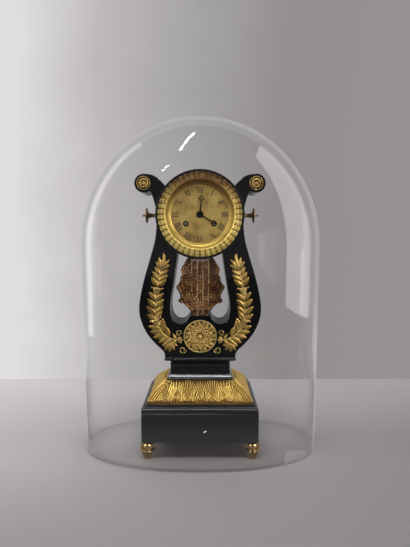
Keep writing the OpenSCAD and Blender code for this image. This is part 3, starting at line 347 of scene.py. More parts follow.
# polished black wood: fine grain along x, cloudy polish, and brown where the stain is rubbed thin
def ebonyFinish(name, look):
    material, shader = newFinish(name, {"Specular IOR Level": look["shine"]})
    grain, cloud = noise(shader, 60, 5, (6, 22, 22)), noise(shader, 14, 4)
    tone = colourRamp(grain, [(0.3, look["dark"]), (0.7, look["light"])])
    tone = mixedColour(mapped(cloud, 0.55, 0.75, 0, 0.4), tone, look["rubbed"])
    if "chip" in look:
        tone = chipped(tone, look["chip"])
    dress(shader, tone, cloud, look["gloss"])
    return material


# stamped or turned metal: dark in the hollows and bright on what stands proud, partly darker gilding in the
# hollows and partly painted shade in hollows and gaps and painted highlight on the crests; cloudy polish and
# fine pitting
# a painted shade can be laid over the top, darker as the height grows
def metalFinish(name, look):
    material, shader = newFinish(name, {"Metallic": look.get("metal", 1.0)})
    proud = addNode(shader, "Attribute", attribute_name="relief").outputs["Fac"]
    edge = addNode(shader, "NewGeometry").outputs["Pointiness"]
    cloud, pits = noise(shader, 40, 5), noise(shader, 900, 3)
    blotch = look.get("blotch", 0.16)
    height = plus(mapped(edge, 0.42, 0.58, -0.35, 0.35), proud)
    height = plus(height, mapped(cloud, 0.25, 0.75, -blotch, blotch))
    tone = colourRamp(height, look["stops"])
    # painted shade: the colour darkens towards the top
    if "topShade" in look:
        topShade = look["topShade"]
        share = mapped(axesOf(objectPlace(shader))["Z"], *topShade["height"], 0, topShade["share"])
        tone = mixedColour(share, tone, topShade["colour"])
    dress(shader, tone, cloud, look["gloss"], bumped(pits, look.get("pitting", 0.2), 0.0003))
    return material


# drawn or planished metal of the works: fine lines along one direction
def brushedFinish(name, look):
    material, shader = newFinish(name, {"Metallic": look.get("metal", 1.0)})
    lines, cloud = noise(shader, 120, 4, look["stretch"]), noise(shader, 45, 4)
    tone = colourRamp(cloud, [(0.35, look["dark"]), (0.65, look["light"])])
    dress(shader, tone, lines, look["gloss"], bumped(lines, 0.15, 0.0002))
    return material


# engine-turned dial: fine rings that waver with the angle, rays, soft tarnish clouds and a darker rim
def dialFinish(look):
    material, shader = newFinish("engineTurnedGilt", {"Metallic": look["metal"]})
    centred = {"Vector": objectPlace(shader), "Location": (0, 0, -look["centreZ"])}
    x, _, z = axesOf(addNode(shader, "Mapping", centred).outputs["Vector"])
    far, angle = compute("SQRT", plus(times(x, x), times(z, z))), compute("ARCTAN2", z, x)
    sway = times(compute("SINE", times(angle, look["rays"])), look["sway"])
    rings = compute("SINE", plus(times(far, 2 * math.pi / look["ring"]), sway))
    cloud = noise(shader, 55, 5)
    spots = mapped(noise(shader, 420, 4), 0.55, 0.8, 0, -0.28)
    burst = compute("SINE", plus(times(angle, look["burst"]), times(cloud, 14.0)))
    tone = plus(plus(cloud, spots), mapped(far, *look["rim"], 0.05, -0.1))
    stops = [(0.2, look["dark"]), (0.45, look["mid"]), (0.7, look["light"])]
    tone = colourRamp(plus(tone, times(burst, 0.05)), stops)
    dress(shader, tone, cloud, look["gloss"], bumped(rings, 0.16, 0.0002))
    return material


# clear blown glass: what is seen through it, a faint dark line inside the outline,
# and a mirror that grows as (1 - cos)^power
def glassFinish(look):
    material, plain = newFinish("blownGlass", {})
    facing = addNode(plain, "LayerWeight", {"Blend": 0.5}).outputs["Facing"]
    share = plus(times(compute("POWER", facing, look["power"]), look["edge"]), look["least"])
    seen = colourRamp(facing, [(0.58, look["tint"]), (0.66, look["line"]), (0.74, look["tint"])])
    clear = addNode(plain, "BsdfTransparent", {"Color": seen})
    mirror = addNode(plain, "BsdfGlossy", {"Color": (*look["haze"], 1), "Roughness": 0.03})
    show(mixedShader(share, clear, mirror))
    material.node_tree.nodes.remove(plain)
    return material


# two tones in clouds, and a third colour past an edge on one axis of the object
# with a step, the edge is counted from the middle of each step, so every step looks the same
def partedFinish(name, look):
    material, shader = newFinish(name, {"Metallic": 1.0})
    along = axesOf(objectPlace(shader))[look["axis"]]
    if "step" in look:
        along = compute("FLOORED_MODULO", compute("DIVIDE", along, look["step"]), 1.0)
        along = compute("ABSOLUTE", compute("SUBTRACT", along, 0.5))
    cloud = noise(shader, look["cloud"], 4, look.get("stretch", (1, 1, 1)))
    tone = colourRamp(cloud, [(0.35, look["dark"]), (0.65, look["light"])])
    tone = mixedColour(mapped(along, *look["edge"]), tone, look["past"])
    dress(shader, tone, cloud, look["gloss"])
    return material


blackLook = dict(
    dark=(0.003, 0.003, 0.0035), light=(0.005, 0.005, 0.0055), rubbed=(0.010, 0.007, 0.006),
    gloss=(0.09, 0.14), shine=0.42)
ebony = ebonyFinish("ebonisedWood", blackLook)
plinthEbony = ebonyFinish("chippedEbony", dict(
    blackLook, dark=(0.005, 0.006, 0.0063), light=(0.007, 0.0082, 0.0085), gloss=(0.17, 0.23), shine=0.34,
    chip=dict(
        place=(0.0078, -0.065, 0.0497), size=(0.0028, 0.004, 0.0011), lean=-32, colour=(0.75, 0.73, 0.7))))
rawWood = ebonyFinish("stainedBoard", dict(
    dark=(0.07, 0.035, 0.016), light=(0.16, 0.085, 0.04), rubbed=(0.24, 0.14, 0.07), gloss=(0.55, 0.75),
    shine=0.3))
gilt = metalFinish("fireGilt", dict(
    stops=[
        (0.0, (0.05, 0.022, 0.005)), (0.3, (0.22, 0.115, 0.026)), (0.62, (0.52, 0.32, 0.065)),
        (0.95, (0.88, 0.62, 0.17))],
    gloss=(0.27, 0.38), blotch=0.06))
# paler gilding for the bezel, painted light for its lower leaves, with painted shade over its top
bezelGilt = metalFinish("bezelGilt", dict(
    stops=[
        (0.0, (0.30, 0.17, 0.036)), (0.3, (0.56, 0.37, 0.082)), (0.6, (0.88, 0.65, 0.16)),
        (0.95, (1.0, 0.83, 0.30))],
    gloss=(0.28, 0.4), blotch=0.12, metal=0.6,
    topShade=dict(height=(0.37, 0.445), share=0.96, colour=(0.095, 0.038, 0.005))))
appliedGilt = metalFinish("appliedGilt", dict(
    stops=[
        (0.0, (0.04, 0.018, 0.005)), (0.35, (0.28, 0.16, 0.04)), (0.7, (0.64, 0.42, 0.115)),
        (1.0, (0.88, 0.64, 0.25))],
    gloss=(0.32, 0.46), blotch=0.1))
rosetteGilt = metalFinish("rosetteGilt", dict(
    stops=[
        (0.0, (0.03, 0.014, 0.004)), (0.35, (0.16, 0.09, 0.024)), (0.7, (0.50, 0.32, 0.09)),
        (1.0, (0.80, 0.58, 0.22))],
    gloss=(0.24, 0.36), blotch=0.08))
footBrass = metalFinish("turnedBrass", dict(
    stops=[(0.1, (0.20, 0.11, 0.04)), (0.5, (0.44, 0.285, 0.115)), (0.9, (0.64, 0.46, 0.22))],
    gloss=(0.14, 0.26), pitting=0.06))
pegBrass = metalFinish("pegBrass", dict(
    stops=[(0.1, (0.12, 0.06, 0.025)), (0.5, (0.34, 0.20, 0.08)), (0.9, (0.55, 0.37, 0.17))],
    gloss=(0.2, 0.34), pitting=0.06))
darkBrass = metalFinish("brownBrass", dict(
    stops=[
        (0.0, (0.06, 0.024, 0.011)), (0.4, (0.33, 0.152, 0.062)), (0.78, (0.60, 0.31, 0.125)),
        (1.0, (1.0, 0.80, 0.42))],
    gloss=(0.32, 0.46), blotch=0.08))
worksBrass = brushedFinish("worksBrass", dict(
    dark=(0.50, 0.34, 0.11), light=(0.74, 0.54, 0.21), gloss=(0.22, 0.42), stretch=(2, 1, 24)))
steel = brushedFinish("worksSteel", dict(
    dark=(0.34, 0.34, 0.36), light=(0.56, 0.56, 0.58), gloss=(0.18, 0.34), stretch=(2, 24, 2)))
bellMetal = brushedFinish("bellMetal", dict(
    dark=(0.42, 0.38, 0.31), light=(0.62, 0.58, 0.5), gloss=(0.16, 0.3), stretch=(3, 20, 3)))
bluedSteel = brushedFinish("bluedSteel", dict(
    dark=(0.009, 0.009, 0.013), light=(0.02, 0.021, 0.032), gloss=(0.22, 0.38), stretch=(4, 4, 4)))
figureInk = brushedFinish("figureInk", dict(
    dark=(0.018, 0.010, 0.006), light=(0.06, 0.036, 0.018), gloss=(0.5, 0.7), stretch=(2, 2, 2), metal=0.0))
dialGilt = dialFinish(dict(
    dark=(0.18, 0.105, 0.026), mid=(0.385, 0.262, 0.067), light=(0.50, 0.36, 0.105), gloss=(0.42, 0.58),
    metal=0.55, centreZ=0.394, ring=0.0011, rays=60, sway=1.3, burst=46, rim=(0.030, 0.048)))
clearGlass = glassFinish(dict(
    tint=(0.997, 0.998, 0.998), line=(0.965, 0.965, 0.97), haze=(0.97, 0.97, 0.98), power=5.0, edge=0.9,
    least=0.024))
# the thick strings are bright and the thin ones between them dull
# the rail has a bright end; the winding squares have a bright end, and behind it the steel is painted dark as
# painted shade deep in the winding holes
stringBrass = partedFinish("stringWire", dict(
    axis="X", step=0.00915, edge=(0.12, 0.2, 0, 1), past=(0.05, 0.03, 0.02), dark=(0.70, 0.47, 0.22),
    light=(0.96, 0.74, 0.42), cloud=160, stretch=(1, 1, 0.4), gloss=(0.22, 0.36)))
railBrass = partedFinish("railBrass", dict(
    axis="Z", edge=(0.3234, 0.3242, 1, 0), past=(0.62, 0.50, 0.42), dark=(0.04, 0.022, 0.012),
    light=(0.10, 0.055, 0.03), cloud=220, gloss=(0.25, 0.45)))
# painted shade: dark steel behind the front end, deep in the winding holes
windingSteel = partedFinish("windingSteel", dict(
    axis="Y", edge=(-0.0375, -0.0372, 1, 0), past=(0.52, 0.43, 0.31), dark=(0.012, 0.011, 0.01),
    light=(0.03, 0.027, 0.025), cloud=220, gloss=(0.25, 0.4)))
print("finishes made")


# plinth: hollow box with four solid corners
plinth = dict(halfX=93.5, halfY=65, foot=31, top=79, wall=8, ease=1.0, block=22, blockCorner=0.2)


# closed profile of foot, outer wall, top and inside, carried round a rectangle; a post in each corner
def plinthParts():
    foot, top, wall = plinth["foot"], plinth["top"], plinth["wall"]
    middle, under = plinth["halfY"], top - wall
    shell = np.vstack([easedLine([(wall, foot), (0, foot), (0, top), (middle, top)], plinth["ease"]),
                       [(middle, under), (wall, under)]])
    half, edge = (plinth["block"] - wall) / 2, (plinth["block"] + wall) / 2
    post = [(half, foot), (0, foot), (0, under), (half, under)]
    corner = mouldedBlock(half, half, post, plinth["blockCorner"])
    x, y = plinth["halfX"] - edge, plinth["halfY"] - edge
    places = [(-x, -y, 0), (-x, y, 0), (x, -y, 0), (x, y, 0)]
    box = mouldedBlock(plinth["halfX"], plinth["halfY"], shell, wrap=True)
    return [box] + [moved(corner, place) for place in places]


boxPiece = makePiece("plinthBox", plinthParts(), ["plinth_box"], plinthEbony, 22)

# cap, pedestal and neck: steps of (inset, height times unit) above a foot, eased and carried round a block
mouldings = dict(
    plinthCap=dict(
        node="plinth_cap", halfX=93.5, halfY=65, foot=79, unit=1, ease=0.6,
        steps=[
            (65, 0), (1.6, 0), (1.6, 0.8), (0.5, 1.4), (0, 2.4), (0, 5.4), (0.4, 6.8), (1.4, 7.8), (3, 8.4),
            (4.4, 8.8), (4.8, 9.6), (5.2, 13), (65, 13)]),
    pedestalBlock=dict(
        node="pedestal", halfX=54.5, halfY=32, foot=123, unit=26, ease=0.5,
        steps=[
            (32, 0), (0, 0), (0, 0.09), (0.6, 0.12), (1.5, 0.14), (1.5, 0.17), (3.2, 0.25), (4.2, 0.29),
            (4.5, 0.33), (5.4, 0.80), (5.4, 0.88), (4.9, 0.92), (4.9, 1), (32, 1)]),
    neckMoulding=dict(
        node="neck_moulding", halfX=59.2, halfY=33, foot=149, unit=14, ease=0.7,
        steps=[
            (33, 0), (12.4, 0), (11.8, 0.07), (10.6, 0.15), (8.8, 0.23), (6.6, 0.30), (4.2, 0.37),
            (2.0, 0.43), (0.7, 0.49), (0, 0.57), (0.2, 0.66), (1.2, 0.74), (1.6, 0.80), (1, 0.88), (1, 1),
            (33, 1)]))
moulded = {}
for name, block in mouldings.items():
    line = easedLine(np.array(block["steps"]) * (1, block["unit"]) + (0, block["foot"]), block["ease"])
    parts = [mouldedBlock(block["halfX"], block["halfY"], line)]
    moulded[name] = makePiece(name, parts, [block["node"]], ebony, 30)
print("ebonised base made")


# lyre: one outline of (x, height above its foot), with a narrow rounded edge and flat faces
lyre = dict(
    foot=163, front=-28, back=28, ease=1.1, scroll=(90, 281, 15), drum=(0, 231, 65.15), count=900, steps=14,
    edge=[
        (58.5, 0), (61, 7), (75, 21), (87, 36), (95, 52), (99.3, 67), (100, 81), (98, 97), (93.5, 118),
        (87.5, 140), (79.5, 166), (73, 190), (70.3, 212), (70.2, 230), (72, 246), (77.6, 264), (83, 271)],
    horn=[(90, 296), (80, 295), (71, 291.5), (63, 285), (55, 277), (46, 270)],
    opening=[
        (35.5, 180), (37, 165), (41, 138), (45, 112), (48.4, 92), (49.3, 77), (46.8, 64), (40.5, 55.5),
        (33, 53), (26, 55), (20.5, 60.5), (17, 67)])


# points of a line that lie outside a circle (x, z, radius)
def outside(points, circle):
    return points[np.hypot(points[:, 0] - circle[0], points[:, 1] - circle[1]) > circle[2]]


# arc of a circle between two points, without its ends; it turns left where turn is 1, else right
def arcBetween(circle, start, end, turn, count=60):
    a, b = (math.atan2(p[1] - circle[1], p[0] - circle[0]) for p in (start, end))
    a, b = (a, b + 2 * math.pi * (b < a)) if turn > 0 else (a + 2 * math.pi * (a < b), b)
    t = np.linspace(a, b, count)[1:-1]
    return np.stack([circle[0] + circle[2] * np.cos(t), circle[1] + circle[2] * np.sin(t)], 1)


# right half: outer edge, scroll, horn, stretch of the drum, opening; then its mirror image
def lyreOutline():
    scroll, drum, steps = lyre["scroll"], lyre["drum"], lyre["steps"]
    edge = outside(smoothCurve(lyre["edge"], steps), scroll)
    horn, opening = (outside(smoothCurve(lyre[key], steps), drum) for key in ("horn", "opening"))
    half = np.vstack([edge, arcBetween(scroll, edge[-1], horn[0], 1), horn,
                      arcBetween(drum, horn[-1], opening[0], -1), opening])
    loop = np.vstack([half, half[::-1] * (-1, 1), half[:1]])
    return evenly(loop, lyre["count"] + 1)[:-1]


# outline moved inwards by inset and set at depth y, for each row of an edge profile
def slabWall(outline, rows):
    way = np.roll(outline, -1, 0) - np.roll(outline, 1, 0)
    way /= np.linalg.norm(way, axis=1, keepdims=True)
    inset, depth = np.asarray(rows, float).T[:, :, None]
    x = outline[:, 0] - inset * way[:, 1]
    z = outline[:, 1] + inset * way[:, 0]
    return np.stack([x, depth + 0 * x, z], -1)


# wall quads and the triangles of both flat faces as one closed part, the front facing -y and the back +y
def closedSlab(points):
    triangles = np.array(tessellate_polygon([[(x, z, 0) for x, _, z in points[0]]]))
    rows, count = points.shape[:2]
    flat = points.reshape(-1, 3)
    quads = gridFaces(rows, count)
    a, b, c = (flat[triangles[:, i]] for i in range(3))
    forward = np.cross(b - a, c - a)[:, 1:2] < 0
    front = np.where(forward, triangles, triangles[:, ::-1])
    sides = np.vstack([quads[:, [0, 1, 2]], quads[:, [0, 2, 3]]])
    return flat, np.vstack([sides, front, front[:, ::-1] + count * (rows - 1)]), np.full(len(flat), 0.5)


quarterRound = np.array([(1, 0), (0.549, 0.2), (0.2, 0.549), (0, 1)]) * lyre["ease"]
rows = np.vstack([quarterRound + (0, lyre["front"]), (quarterRound * (1, -1) + (0, lyre["back"]))[::-1]])
wall = slabWall(lyreOutline() + (0, lyre["foot"]), rows)
makePiece("lyreFrame", [closedSlab(wall)], ["lyre_body"], ebony, 23)
print("lyre made")


# fingers that fan upwards from a foot: a ridge for each finger, cut off where it is longer than its size
def palmette(x, s, foot, size, fingers, spread):
    dx, ds = x - foot[0], s - foot[1]
    far, turn = np.hypot(dx, ds), np.arctan2(dx, ds) / math.radians(spread)
    ridge = np.abs(np.cos(np.pi / 2 * fingers * turn)) ** 1.3
    reach = size * (1 - 0.3 * turn**2) * (0.82 + 0.18 * ridge)
    body = unit((reach - far) / (0.12 * size)) * np.clip(far / (0.2 * size), 0.35, 1)
    return np.where(np.abs(turn) < 1, body * (0.18 + 0.82 * ridge), 0)


# petals round a boss
def flower(x, s, centre, size, petals):
    dx, ds = x - centre[0], s - centre[1]
    far, turn = np.hypot(dx, ds) / size, np.arctan2(dx, ds)
    petal = np.abs(np.cos(petals / 2 * turn)) ** 0.7 * bell(far, 0.62, 0.24)
    return np.maximum(0.9 * petal, 1.1 * bell(far, 0, 0.2)) * (far < 1.2)


# tendril whose ridge winds round its middle
def tendril(x, s, centre, size, hand):
    dx, ds = hand * (x - centre[0]), s - centre[1]
    far, turn = np.hypot(dx, ds) / size, np.arctan2(ds, dx)
    return np.abs(np.cos(np.pi * (1.6 * far + turn / (2 * np.pi)))) ** 3 * unit((1 - far) / 0.12)


# the highest of a piece's palmettes, flowers and tendrils at each point
def ornament(x, s, look):
    forms = [palmette(x, s, *p) for p in look["palmettes"]] + [flower(x, s, *p) for p in look["flowers"]]
    return np.maximum.reduce(forms + [look["tendrilShare"] * tendril(x, s, *p) for p in look["tendrils"]])


# small grains without a seam: a sum of waves in five directions
def grains(x, z, wave):
    turns = np.radians(np.arange(5) * 36 + 11)
    lengths = [2 * np.pi * (x * np.cos(k) + z * np.sin(k)) / wave for k in turns]
    return sum(np.cos(length + 2 * i) for i, length in enumerate(lengths)) / 5


# gilt skirt: four sloping sides, inset = slope * (0.35 t + 0.65 (1 - cos 90 t)),
# stamped with palmettes, flowers and tendrils
skirt = dict(
    halfX=85.5, halfY=59, foot=92, tall=31, slope=30, sheet=1.2, proud=1.3, length=45, border=4.5,
    cornerWidth=12, ridge=4.2, ground=0.2, grain=4.2, rows=64, innerRows=6, acrossFront=360, acrossSide=240,
    palmettes=[
        ((0, 5), 41, 5, 17), ((20, 3), 46, 11, 33), ((39, 6), 40, 7, 30), ((57, 3), 46, 11, 42),
        ((9.5, 4), 22, 5, 38), ((30, 4), 19, 5, 42), ((48, 4), 20, 5, 42), ((70, 4), 20, 7, 60)],
    flowers=[
        ((45, 20), 5.5, 8), ((10.5, 25), 3.8, 6), ((30, 22), 3.6, 6), ((0, 15), 3.6, 6), ((36, 13), 3.4, 6),
        ((63, 19), 4, 6)],
    tendrilShare=0.85,
    tendrils=[
        ((12, 13), 5, 1), ((27.5, 12), 5, -1), ((38, 30), 5, 1), ((47, 31), 4.6, -1), ((62, 11), 5, 1),
        ((8, 34), 4.2, 1)])


# height of the stamping over the distance x from the middle of a side and the length s up its slope
# d is the distance from the corner, where upright ridges take its place
def stampedLeaves(x, s, d):
    x, edge = np.abs(x), skirt["border"]
    body = np.maximum(ornament(x, s, skirt), skirt["ground"])
    body = body + 0.5 * grains(x, s, skirt["grain"]) * np.clip(1.4 - s / 30, 0.25, 1)
    body = body * unit((s - edge) / 0.8) + 0.35 * bell(s, 0.6 * edge, 1.1)
    body = body + 0.5 * unit((s - skirt["length"] + 2.2) / 1)
    ridges = 0.62 + 0.6 * np.cos(2 * np.pi * d / skirt["ridge"])
    corner = unit((skirt["cornerWidth"] - d) / 2) * unit((s - edge) / 1.5)
    return body * (1 - corner) + ridges * corner


# one of the four sides as x, y, z and relief; the inner skin has no stamping
def skirtSide(side, t, extra, stamped):
    keys = ("halfX", "halfY", "acrossFront") if side % 2 == 0 else ("halfY", "halfX", "acrossSide")
    half, out, count = (skirt[key] for key in keys)
    inset = skirt["slope"] * (0.35 * t + 0.65 * (1 - np.cos(np.pi / 2 * t))) + extra
    lean = skirt["slope"] * (0.35 + 0.65 * np.pi / 2 * np.sin(np.pi / 2 * t))
    size = np.hypot(skirt["tall"], lean)
    place = np.linspace(-1, 1, count, endpoint=False) * (half - inset)
    d = half - inset - np.abs(place)
    relief = stampedLeaves(place, skirt["length"] * t, d) if stamped else 0 * place
    ease = unit(d / 0.9) * unit(t / 0.03) * unit((1 - t) / 0.03)
    push = stamped * skirt["proud"] * (relief - 0.3) * ease
    out = out - inset + push * skirt["tall"] / size
    up = skirt["foot"] + skirt["tall"] * t + push * lean / size
    return np.stack([*((place, -out), (out, place), (-place, out), (-out, -place))[side], up, relief])


# the four sides of one skin, side by side round the skirt
def skirtSkin(t, extra, stamped):
    return np.concatenate([skirtSide(side, t[:, None], extra, stamped) for side in range(4)], 2)


outer = skirtSkin(np.linspace(0, 1, skirt["rows"]), 0, True)
inner = skirtSkin(np.linspace(1, 0, skirt["innerRows"]), skirt["sheet"], False)
skirtPart = surface(*np.concatenate([outer, inner], 1), wrap=True)
skirtPiece = makePiece("giltSkirt", [skirtPart], ["gilt_skirt"], gilt, 60)
print("skirt made")


# feet: a turned profile in shares of (radius, height), eased, once at each corner
feet = dict(
    places=[(-85.5, -51), (85.5, -51), (-85.5, 51), (85.5, 51)], radius=12.75, tall=31, ease=1.0, around=72,
    profile=[
        (0, 0), (0.40, 0), (0.48, 0.03), (0.52, 0.09), (0.63, 0.18), (0.73, 0.30), (0.78, 0.41),
        (0.95, 0.45), (1.0, 0.49), (0.96, 0.52), (0.80, 0.55), (0.87, 0.62), (0.89, 0.69), (0.85, 0.78),
        (0.75, 0.86), (0.62, 0.92), (0.56, 0.94), (0.56, 1), (0, 1)])
profile = easedLine(np.array(feet["profile"]) * (feet["radius"], feet["tall"]), feet["ease"], 5)
parts = [turnedForm(profile, "up", (x, y, 0), feet["around"]) for x, y in feet["places"]]
makePiece("turnedFeet", parts, ["feet"], footBrass, 50)

# side pegs: collar, stem, thin disc and ball tip turned round the x axis
pegs = dict(
    start=69.6, height=394, ease=0.6, around=64,
    profile=[
        (0, -4), (2.2, -4), (2.2, 1), (5, 1), (5.3, 2.2), (5, 3.6), (3.4, 4.2), (3.1, 8), (3.5, 13),
        (4.6, 14), (4.6, 15.6), (3.2, 16.4), (3.2, 17.2), (9, 17.6), (12.6, 18.6), (13, 19.4), (12.6, 20.2),
        (9, 21.2), (2.4, 22.2), (1.3, 23), (1.2, 24.4), (1.7, 25.1), (1.9, 26), (1.6, 27), (0.9, 27.6),
        (0, 27.8)])
profile = easedLine(pegs["profile"], pegs["ease"]) + (0, pegs["start"])
parts = [turnedForm(profile, side, (0, 0, pegs["height"]), pegs["around"]) for side in ("right", "left")]
makePiece("turnedPegs", parts, ["side_pegs"], pegBrass, 50)


# bezel: a stepped ring whose outer slope is divided into lobed leaves with a rib and a raised border
# phase runs over a leaf from -0.5 to 0.5, and q from the crest (0) to the rim (1); half swells at each lobe
# leaves and scallops start at a radius and reach their full height over a width
bezel = dict(
    front=-37, height=394, leaves=44, perLeaf=18, lobes=2.5, proud=1.3, scallop=2.0, crest=54.6, rim=67,
    leafStart=(54.8, 1.2), rimStart=(58, 8),
    profile=[
        (67, 0), (67.2, 1.6), (66.6, 3.2), (65.2, 4.6), (63.2, 6.0), (61.0, 7.2), (58.6, 8.3), (56.4, 9.1),
        (54.6, 9.6), (53.6, 9.3), (53.0, 8.2), (52.4, 6.8), (51.2, 5.4), (49.4, 4.2), (48.6, 3.6),
        (48.3, 2.3), (46.6, 1.8), (46, 1.2), (46, 0)])


def leafRing():
    r, h = smoothCurve(bezel["profile"], 3).T[:, :, None]
    a = fullTurn(bezel["leaves"] * bezel["perLeaf"])
    turn = a * bezel["leaves"] / (2 * np.pi)
    phase = turn % 1 - 0.5
    off = np.abs(phase)
    q = unit((r - bezel["crest"]) / (bezel["rim"] - bezel["crest"]))
    begin, width = bezel["leafStart"]
    slope = unit((r - begin) / width) * unit(h / 1.5)
    half = 0.47 * (0.86 + 0.14 * np.cos(2 * np.pi * (bezel["lobes"] * q - 0.1)))
    half = half * np.clip((1.12 - q) / 0.3, 0.2, 1) ** 0.5
    crown = np.sqrt(unit(1 - (phase / half) ** 4))
    lively = 1 + 0.5 * np.sin(2.4 * np.floor(turn))
    veins = 0.2 * lively * np.cos(2 * np.pi * (bezel["lobes"] * q - 1.6 * off))
    rib = 0.25 * bell(phase, 0, 0.05) + 0.24 * bell(off, 0.76 * half, 0.06) + veins
    rise = slope * (crown * (0.5 + rib) - 0.35)
    begin, width = bezel["rimStart"]
    rim = unit((r - begin) / width) ** 2
    radius = r - bezel["scallop"] * rim * slope * (2 * off) ** 3 + 0.35 * rise * rim
    y = bezel["front"] - (h + bezel["proud"] * rise)
    return surface(radius * np.cos(a), y, bezel["height"] + radius * np.sin(a), 0.4 + rise, True)


bezelPiece = makePiece("leafBezel", [leafRing()], ["bezel"], bezelGilt, 45)


# rosettes on the scroll eyes: height over (r, angle) with a boss, twelve petals and a beaded rim
rosettes = dict(
    places=[(-90, 444), (90, 444)], radius=11.2, face=-28, petals=12, beads=36, rings=34, around=144)


# height = bell curves over the share rho of the radius: boss, ring, petals, groove and beaded rim
def rosette(x, z):
    rho = np.concatenate([np.linspace(0, 1, rosettes["rings"]), [1, 0.5, 0]])[:, None]
    a = fullTurn(rosettes["around"])
    petal = np.abs(np.cos(rosettes["petals"] / 2 * a)) ** 0.6
    tall = 0.9 + 1.7 * bell(rho, 0, 0.17) + 0.5 * bell(rho, 0.27, 0.05)
    tall = tall + 1.1 * petal * bell(rho, 0.55, 0.14)
    tall = tall - 0.35 * bell(rho, 0.76, 0.04)
    tall = tall + (0.8 + 0.25 * np.cos(rosettes["beads"] * a)) * bell(rho, 0.9, 0.06)
    tall[rosettes["rings"]:] = 0
    r = rosettes["radius"] * rho
    relief = unit(tall / 1.5 - 0.45)
    return surface(x + r * np.cos(a), rosettes["face"] - tall, z + r * np.sin(a), relief)


parts = [rosette(x, z) for x, z in rosettes["places"]]
makePiece("scrollRosettes", parts, ["scroll_rosettes"], rosetteGilt, 60)
print("bezel, pegs, feet and rosettes made")


# husk: a fluted cup that opens towards the tip
# half width = foot + (mouth - foot) s^1.5, height = 2.3 sin(a)^0.6
def huskForm(place, angle, face, lift, length=11, foot=4.4, mouth=7.8, rings=12, around=28):
    s = np.append(np.linspace(0, 1, rings), 1.0)[:, None]
    size = np.append(np.ones(rings), 0.0)[:, None]
    a = fullTurn(around)
    wave = np.cos(5 * np.pi * np.cos(a))
    across = (foot + (mouth - foot) * s**1.5) * np.cos(a) * size
    tall = 2.3 * unit(np.sin(a)) ** 0.6 * (1 + 0.2 * wave * s) * size
    x, z = onBearing(*place, angle, length * (s + 0.07 * wave * (s > 0.8) * size), across)
    return surface(x, face - lift - tall, z, unit(tall / 2.6))


# laurel branches: a stem with pairs of leaves, two husks, a crown, a hanging palmette and leaves at the tip
# places are (x, height above the lyre's foot), pairs (share of the stem, spread, size)
# fans are (turn, length, width), husk tips (ahead, aside, radius, lift),
# husk leaves (ahead, turn, length, width, lift) and beads (share back along the stem, radius, lift)
laurel = dict(
    foot=163, face=-28, leaf=(18.4, 8.8), wire=1.0,
    stem=[
        (59, 171), (61, 150), (66, 130), (69.5, 114), (72.5, 90), (72.6, 63.5), (66, 45), (56, 33),
        (43, 27.5), (31, 27)],
    pairs=[
        (0.205, 42, 0.9), (0.265, 43, 0.97), (0.325, 43, 1), (0.432, 43, 0.95), (0.482, 44, 1.05),
        (0.530, 44, 1.05), (0.576, 44, 1), (0.668, 46, 1.05), (0.715, 48, 1.1), (0.765, 50, 1.1),
        (0.817, 52, 1.05), (0.868, 54, 0.95), (0.92, 56, 0.65)],
    husks=[0.391, 0.625], huskTips=(10.8, 8.6, 1.7, 1.5), huskLeaves=(7.5, 66, 9, 3.4, 1.4),
    huskLift=1.6, beads=(0.016, 1.2, 1.8), crown=0.15,
    crownFan=[(0, 26, 7), (24, 21, 7), (-24, 21, 7), (48, 16, 7), (-48, 16, 7)], root=(50, 21),
    rootTop=(50, 30), rootFan=[(0, 15, 8), (36, 14.5, 8), (-36, 14.5, 8), (72, 13.5, 8), (-72, 13.5, 8)],
    tip=(37, 26.5), tipFan=[(0, 9, 6.2), (38, 9, 6), (-38, 8.5, 6)])


def laurelBranch(side):
    face, wire = laurel["face"], laurel["wire"]
    stem = smoothCurve(laurel["stem"], 12)

    def at(share):
        place = np.asarray(share, float) * (len(stem) - 1)
        return np.stack([np.interp(place, np.arange(len(stem)), stem[:, i]) for i in range(2)], -1)

    def bearing(share):
        share = np.asarray(share, float)
        way = at(unit(share - 0.02)) - at(unit(share + 0.02))
        return np.degrees(np.arctan2(way[..., 1], way[..., 0]))

    def fan(place, angle, leaves, lift):
        turn, length, width = np.array(leaves, float).T
        lifts = lift + 0.25 * np.arange(len(turn))[::-1]
        return leafForms([place] * len(turn), angle + turn, length, width, face, lifts)

    share, spread, size = np.array(laurel["pairs"]).T
    lifts = 0.2 + 0.4 * np.linspace(0, 1, len(share))
    length, width = laurel["leaf"]
    parts = [tubeOnFace(evenly(stem, 60), wire, face)]
    thinned = (share < 0.7) | (np.arange(len(share)) % 2 == 0)  # fewer leaves on the inside of the bend
    for hand, kept in ((1, thinned), (-1, slice(None))):
        angle = bearing(share[kept]) + hand * spread[kept]
        long, wide = length * size[kept], width * size[kept]
        parts.append(leafForms(at(share[kept]), angle, long, wide, face, lifts[kept]))
    parts += [fan(at(laurel["crown"]), bearing(laurel["crown"]), laurel["crownFan"], 0.3),
              fan(laurel["root"], -90, laurel["rootFan"], 0.3),
              fan(laurel["tip"], 180, laurel["tipFan"], 0.4),
              tubeOnFace(evenly([laurel["root"], laurel["rootTop"]], 12), wire, face)]
    for husk in laurel["husks"]:
        place, angle = at(husk), bearing(husk)
        ahead, aside, radius, lift = laurel["huskTips"]
        tips = [onBearing(*place, angle, ahead, hand * aside) for hand in (-1, 1)]
        parts += [huskForm(place, angle, face, laurel["huskLift"]), beadForms(tips, radius, face, lift)]
        ahead, turn, length, width, lift = laurel["huskLeaves"]
        leaves = [onBearing(*place, angle, ahead, 0)] * 2
        parts.append(leafForms(leaves, angle + np.array([-turn, turn]), length, width, face, lift))
    back, radius, lift = laurel["beads"]
    parts.append(beadForms(at(share[:-1] - back), radius, face, lift))
    return [moved(part, (0, 0, laurel["foot"]), (side, 1, 1)) for part in parts]


for side, name, node in ((-1, "leftLaurel", "left_laurel"), (1, "rightLaurel", "right_laurel")):
    makePiece(name, laurelBranch(side), [node], appliedGilt, 50)


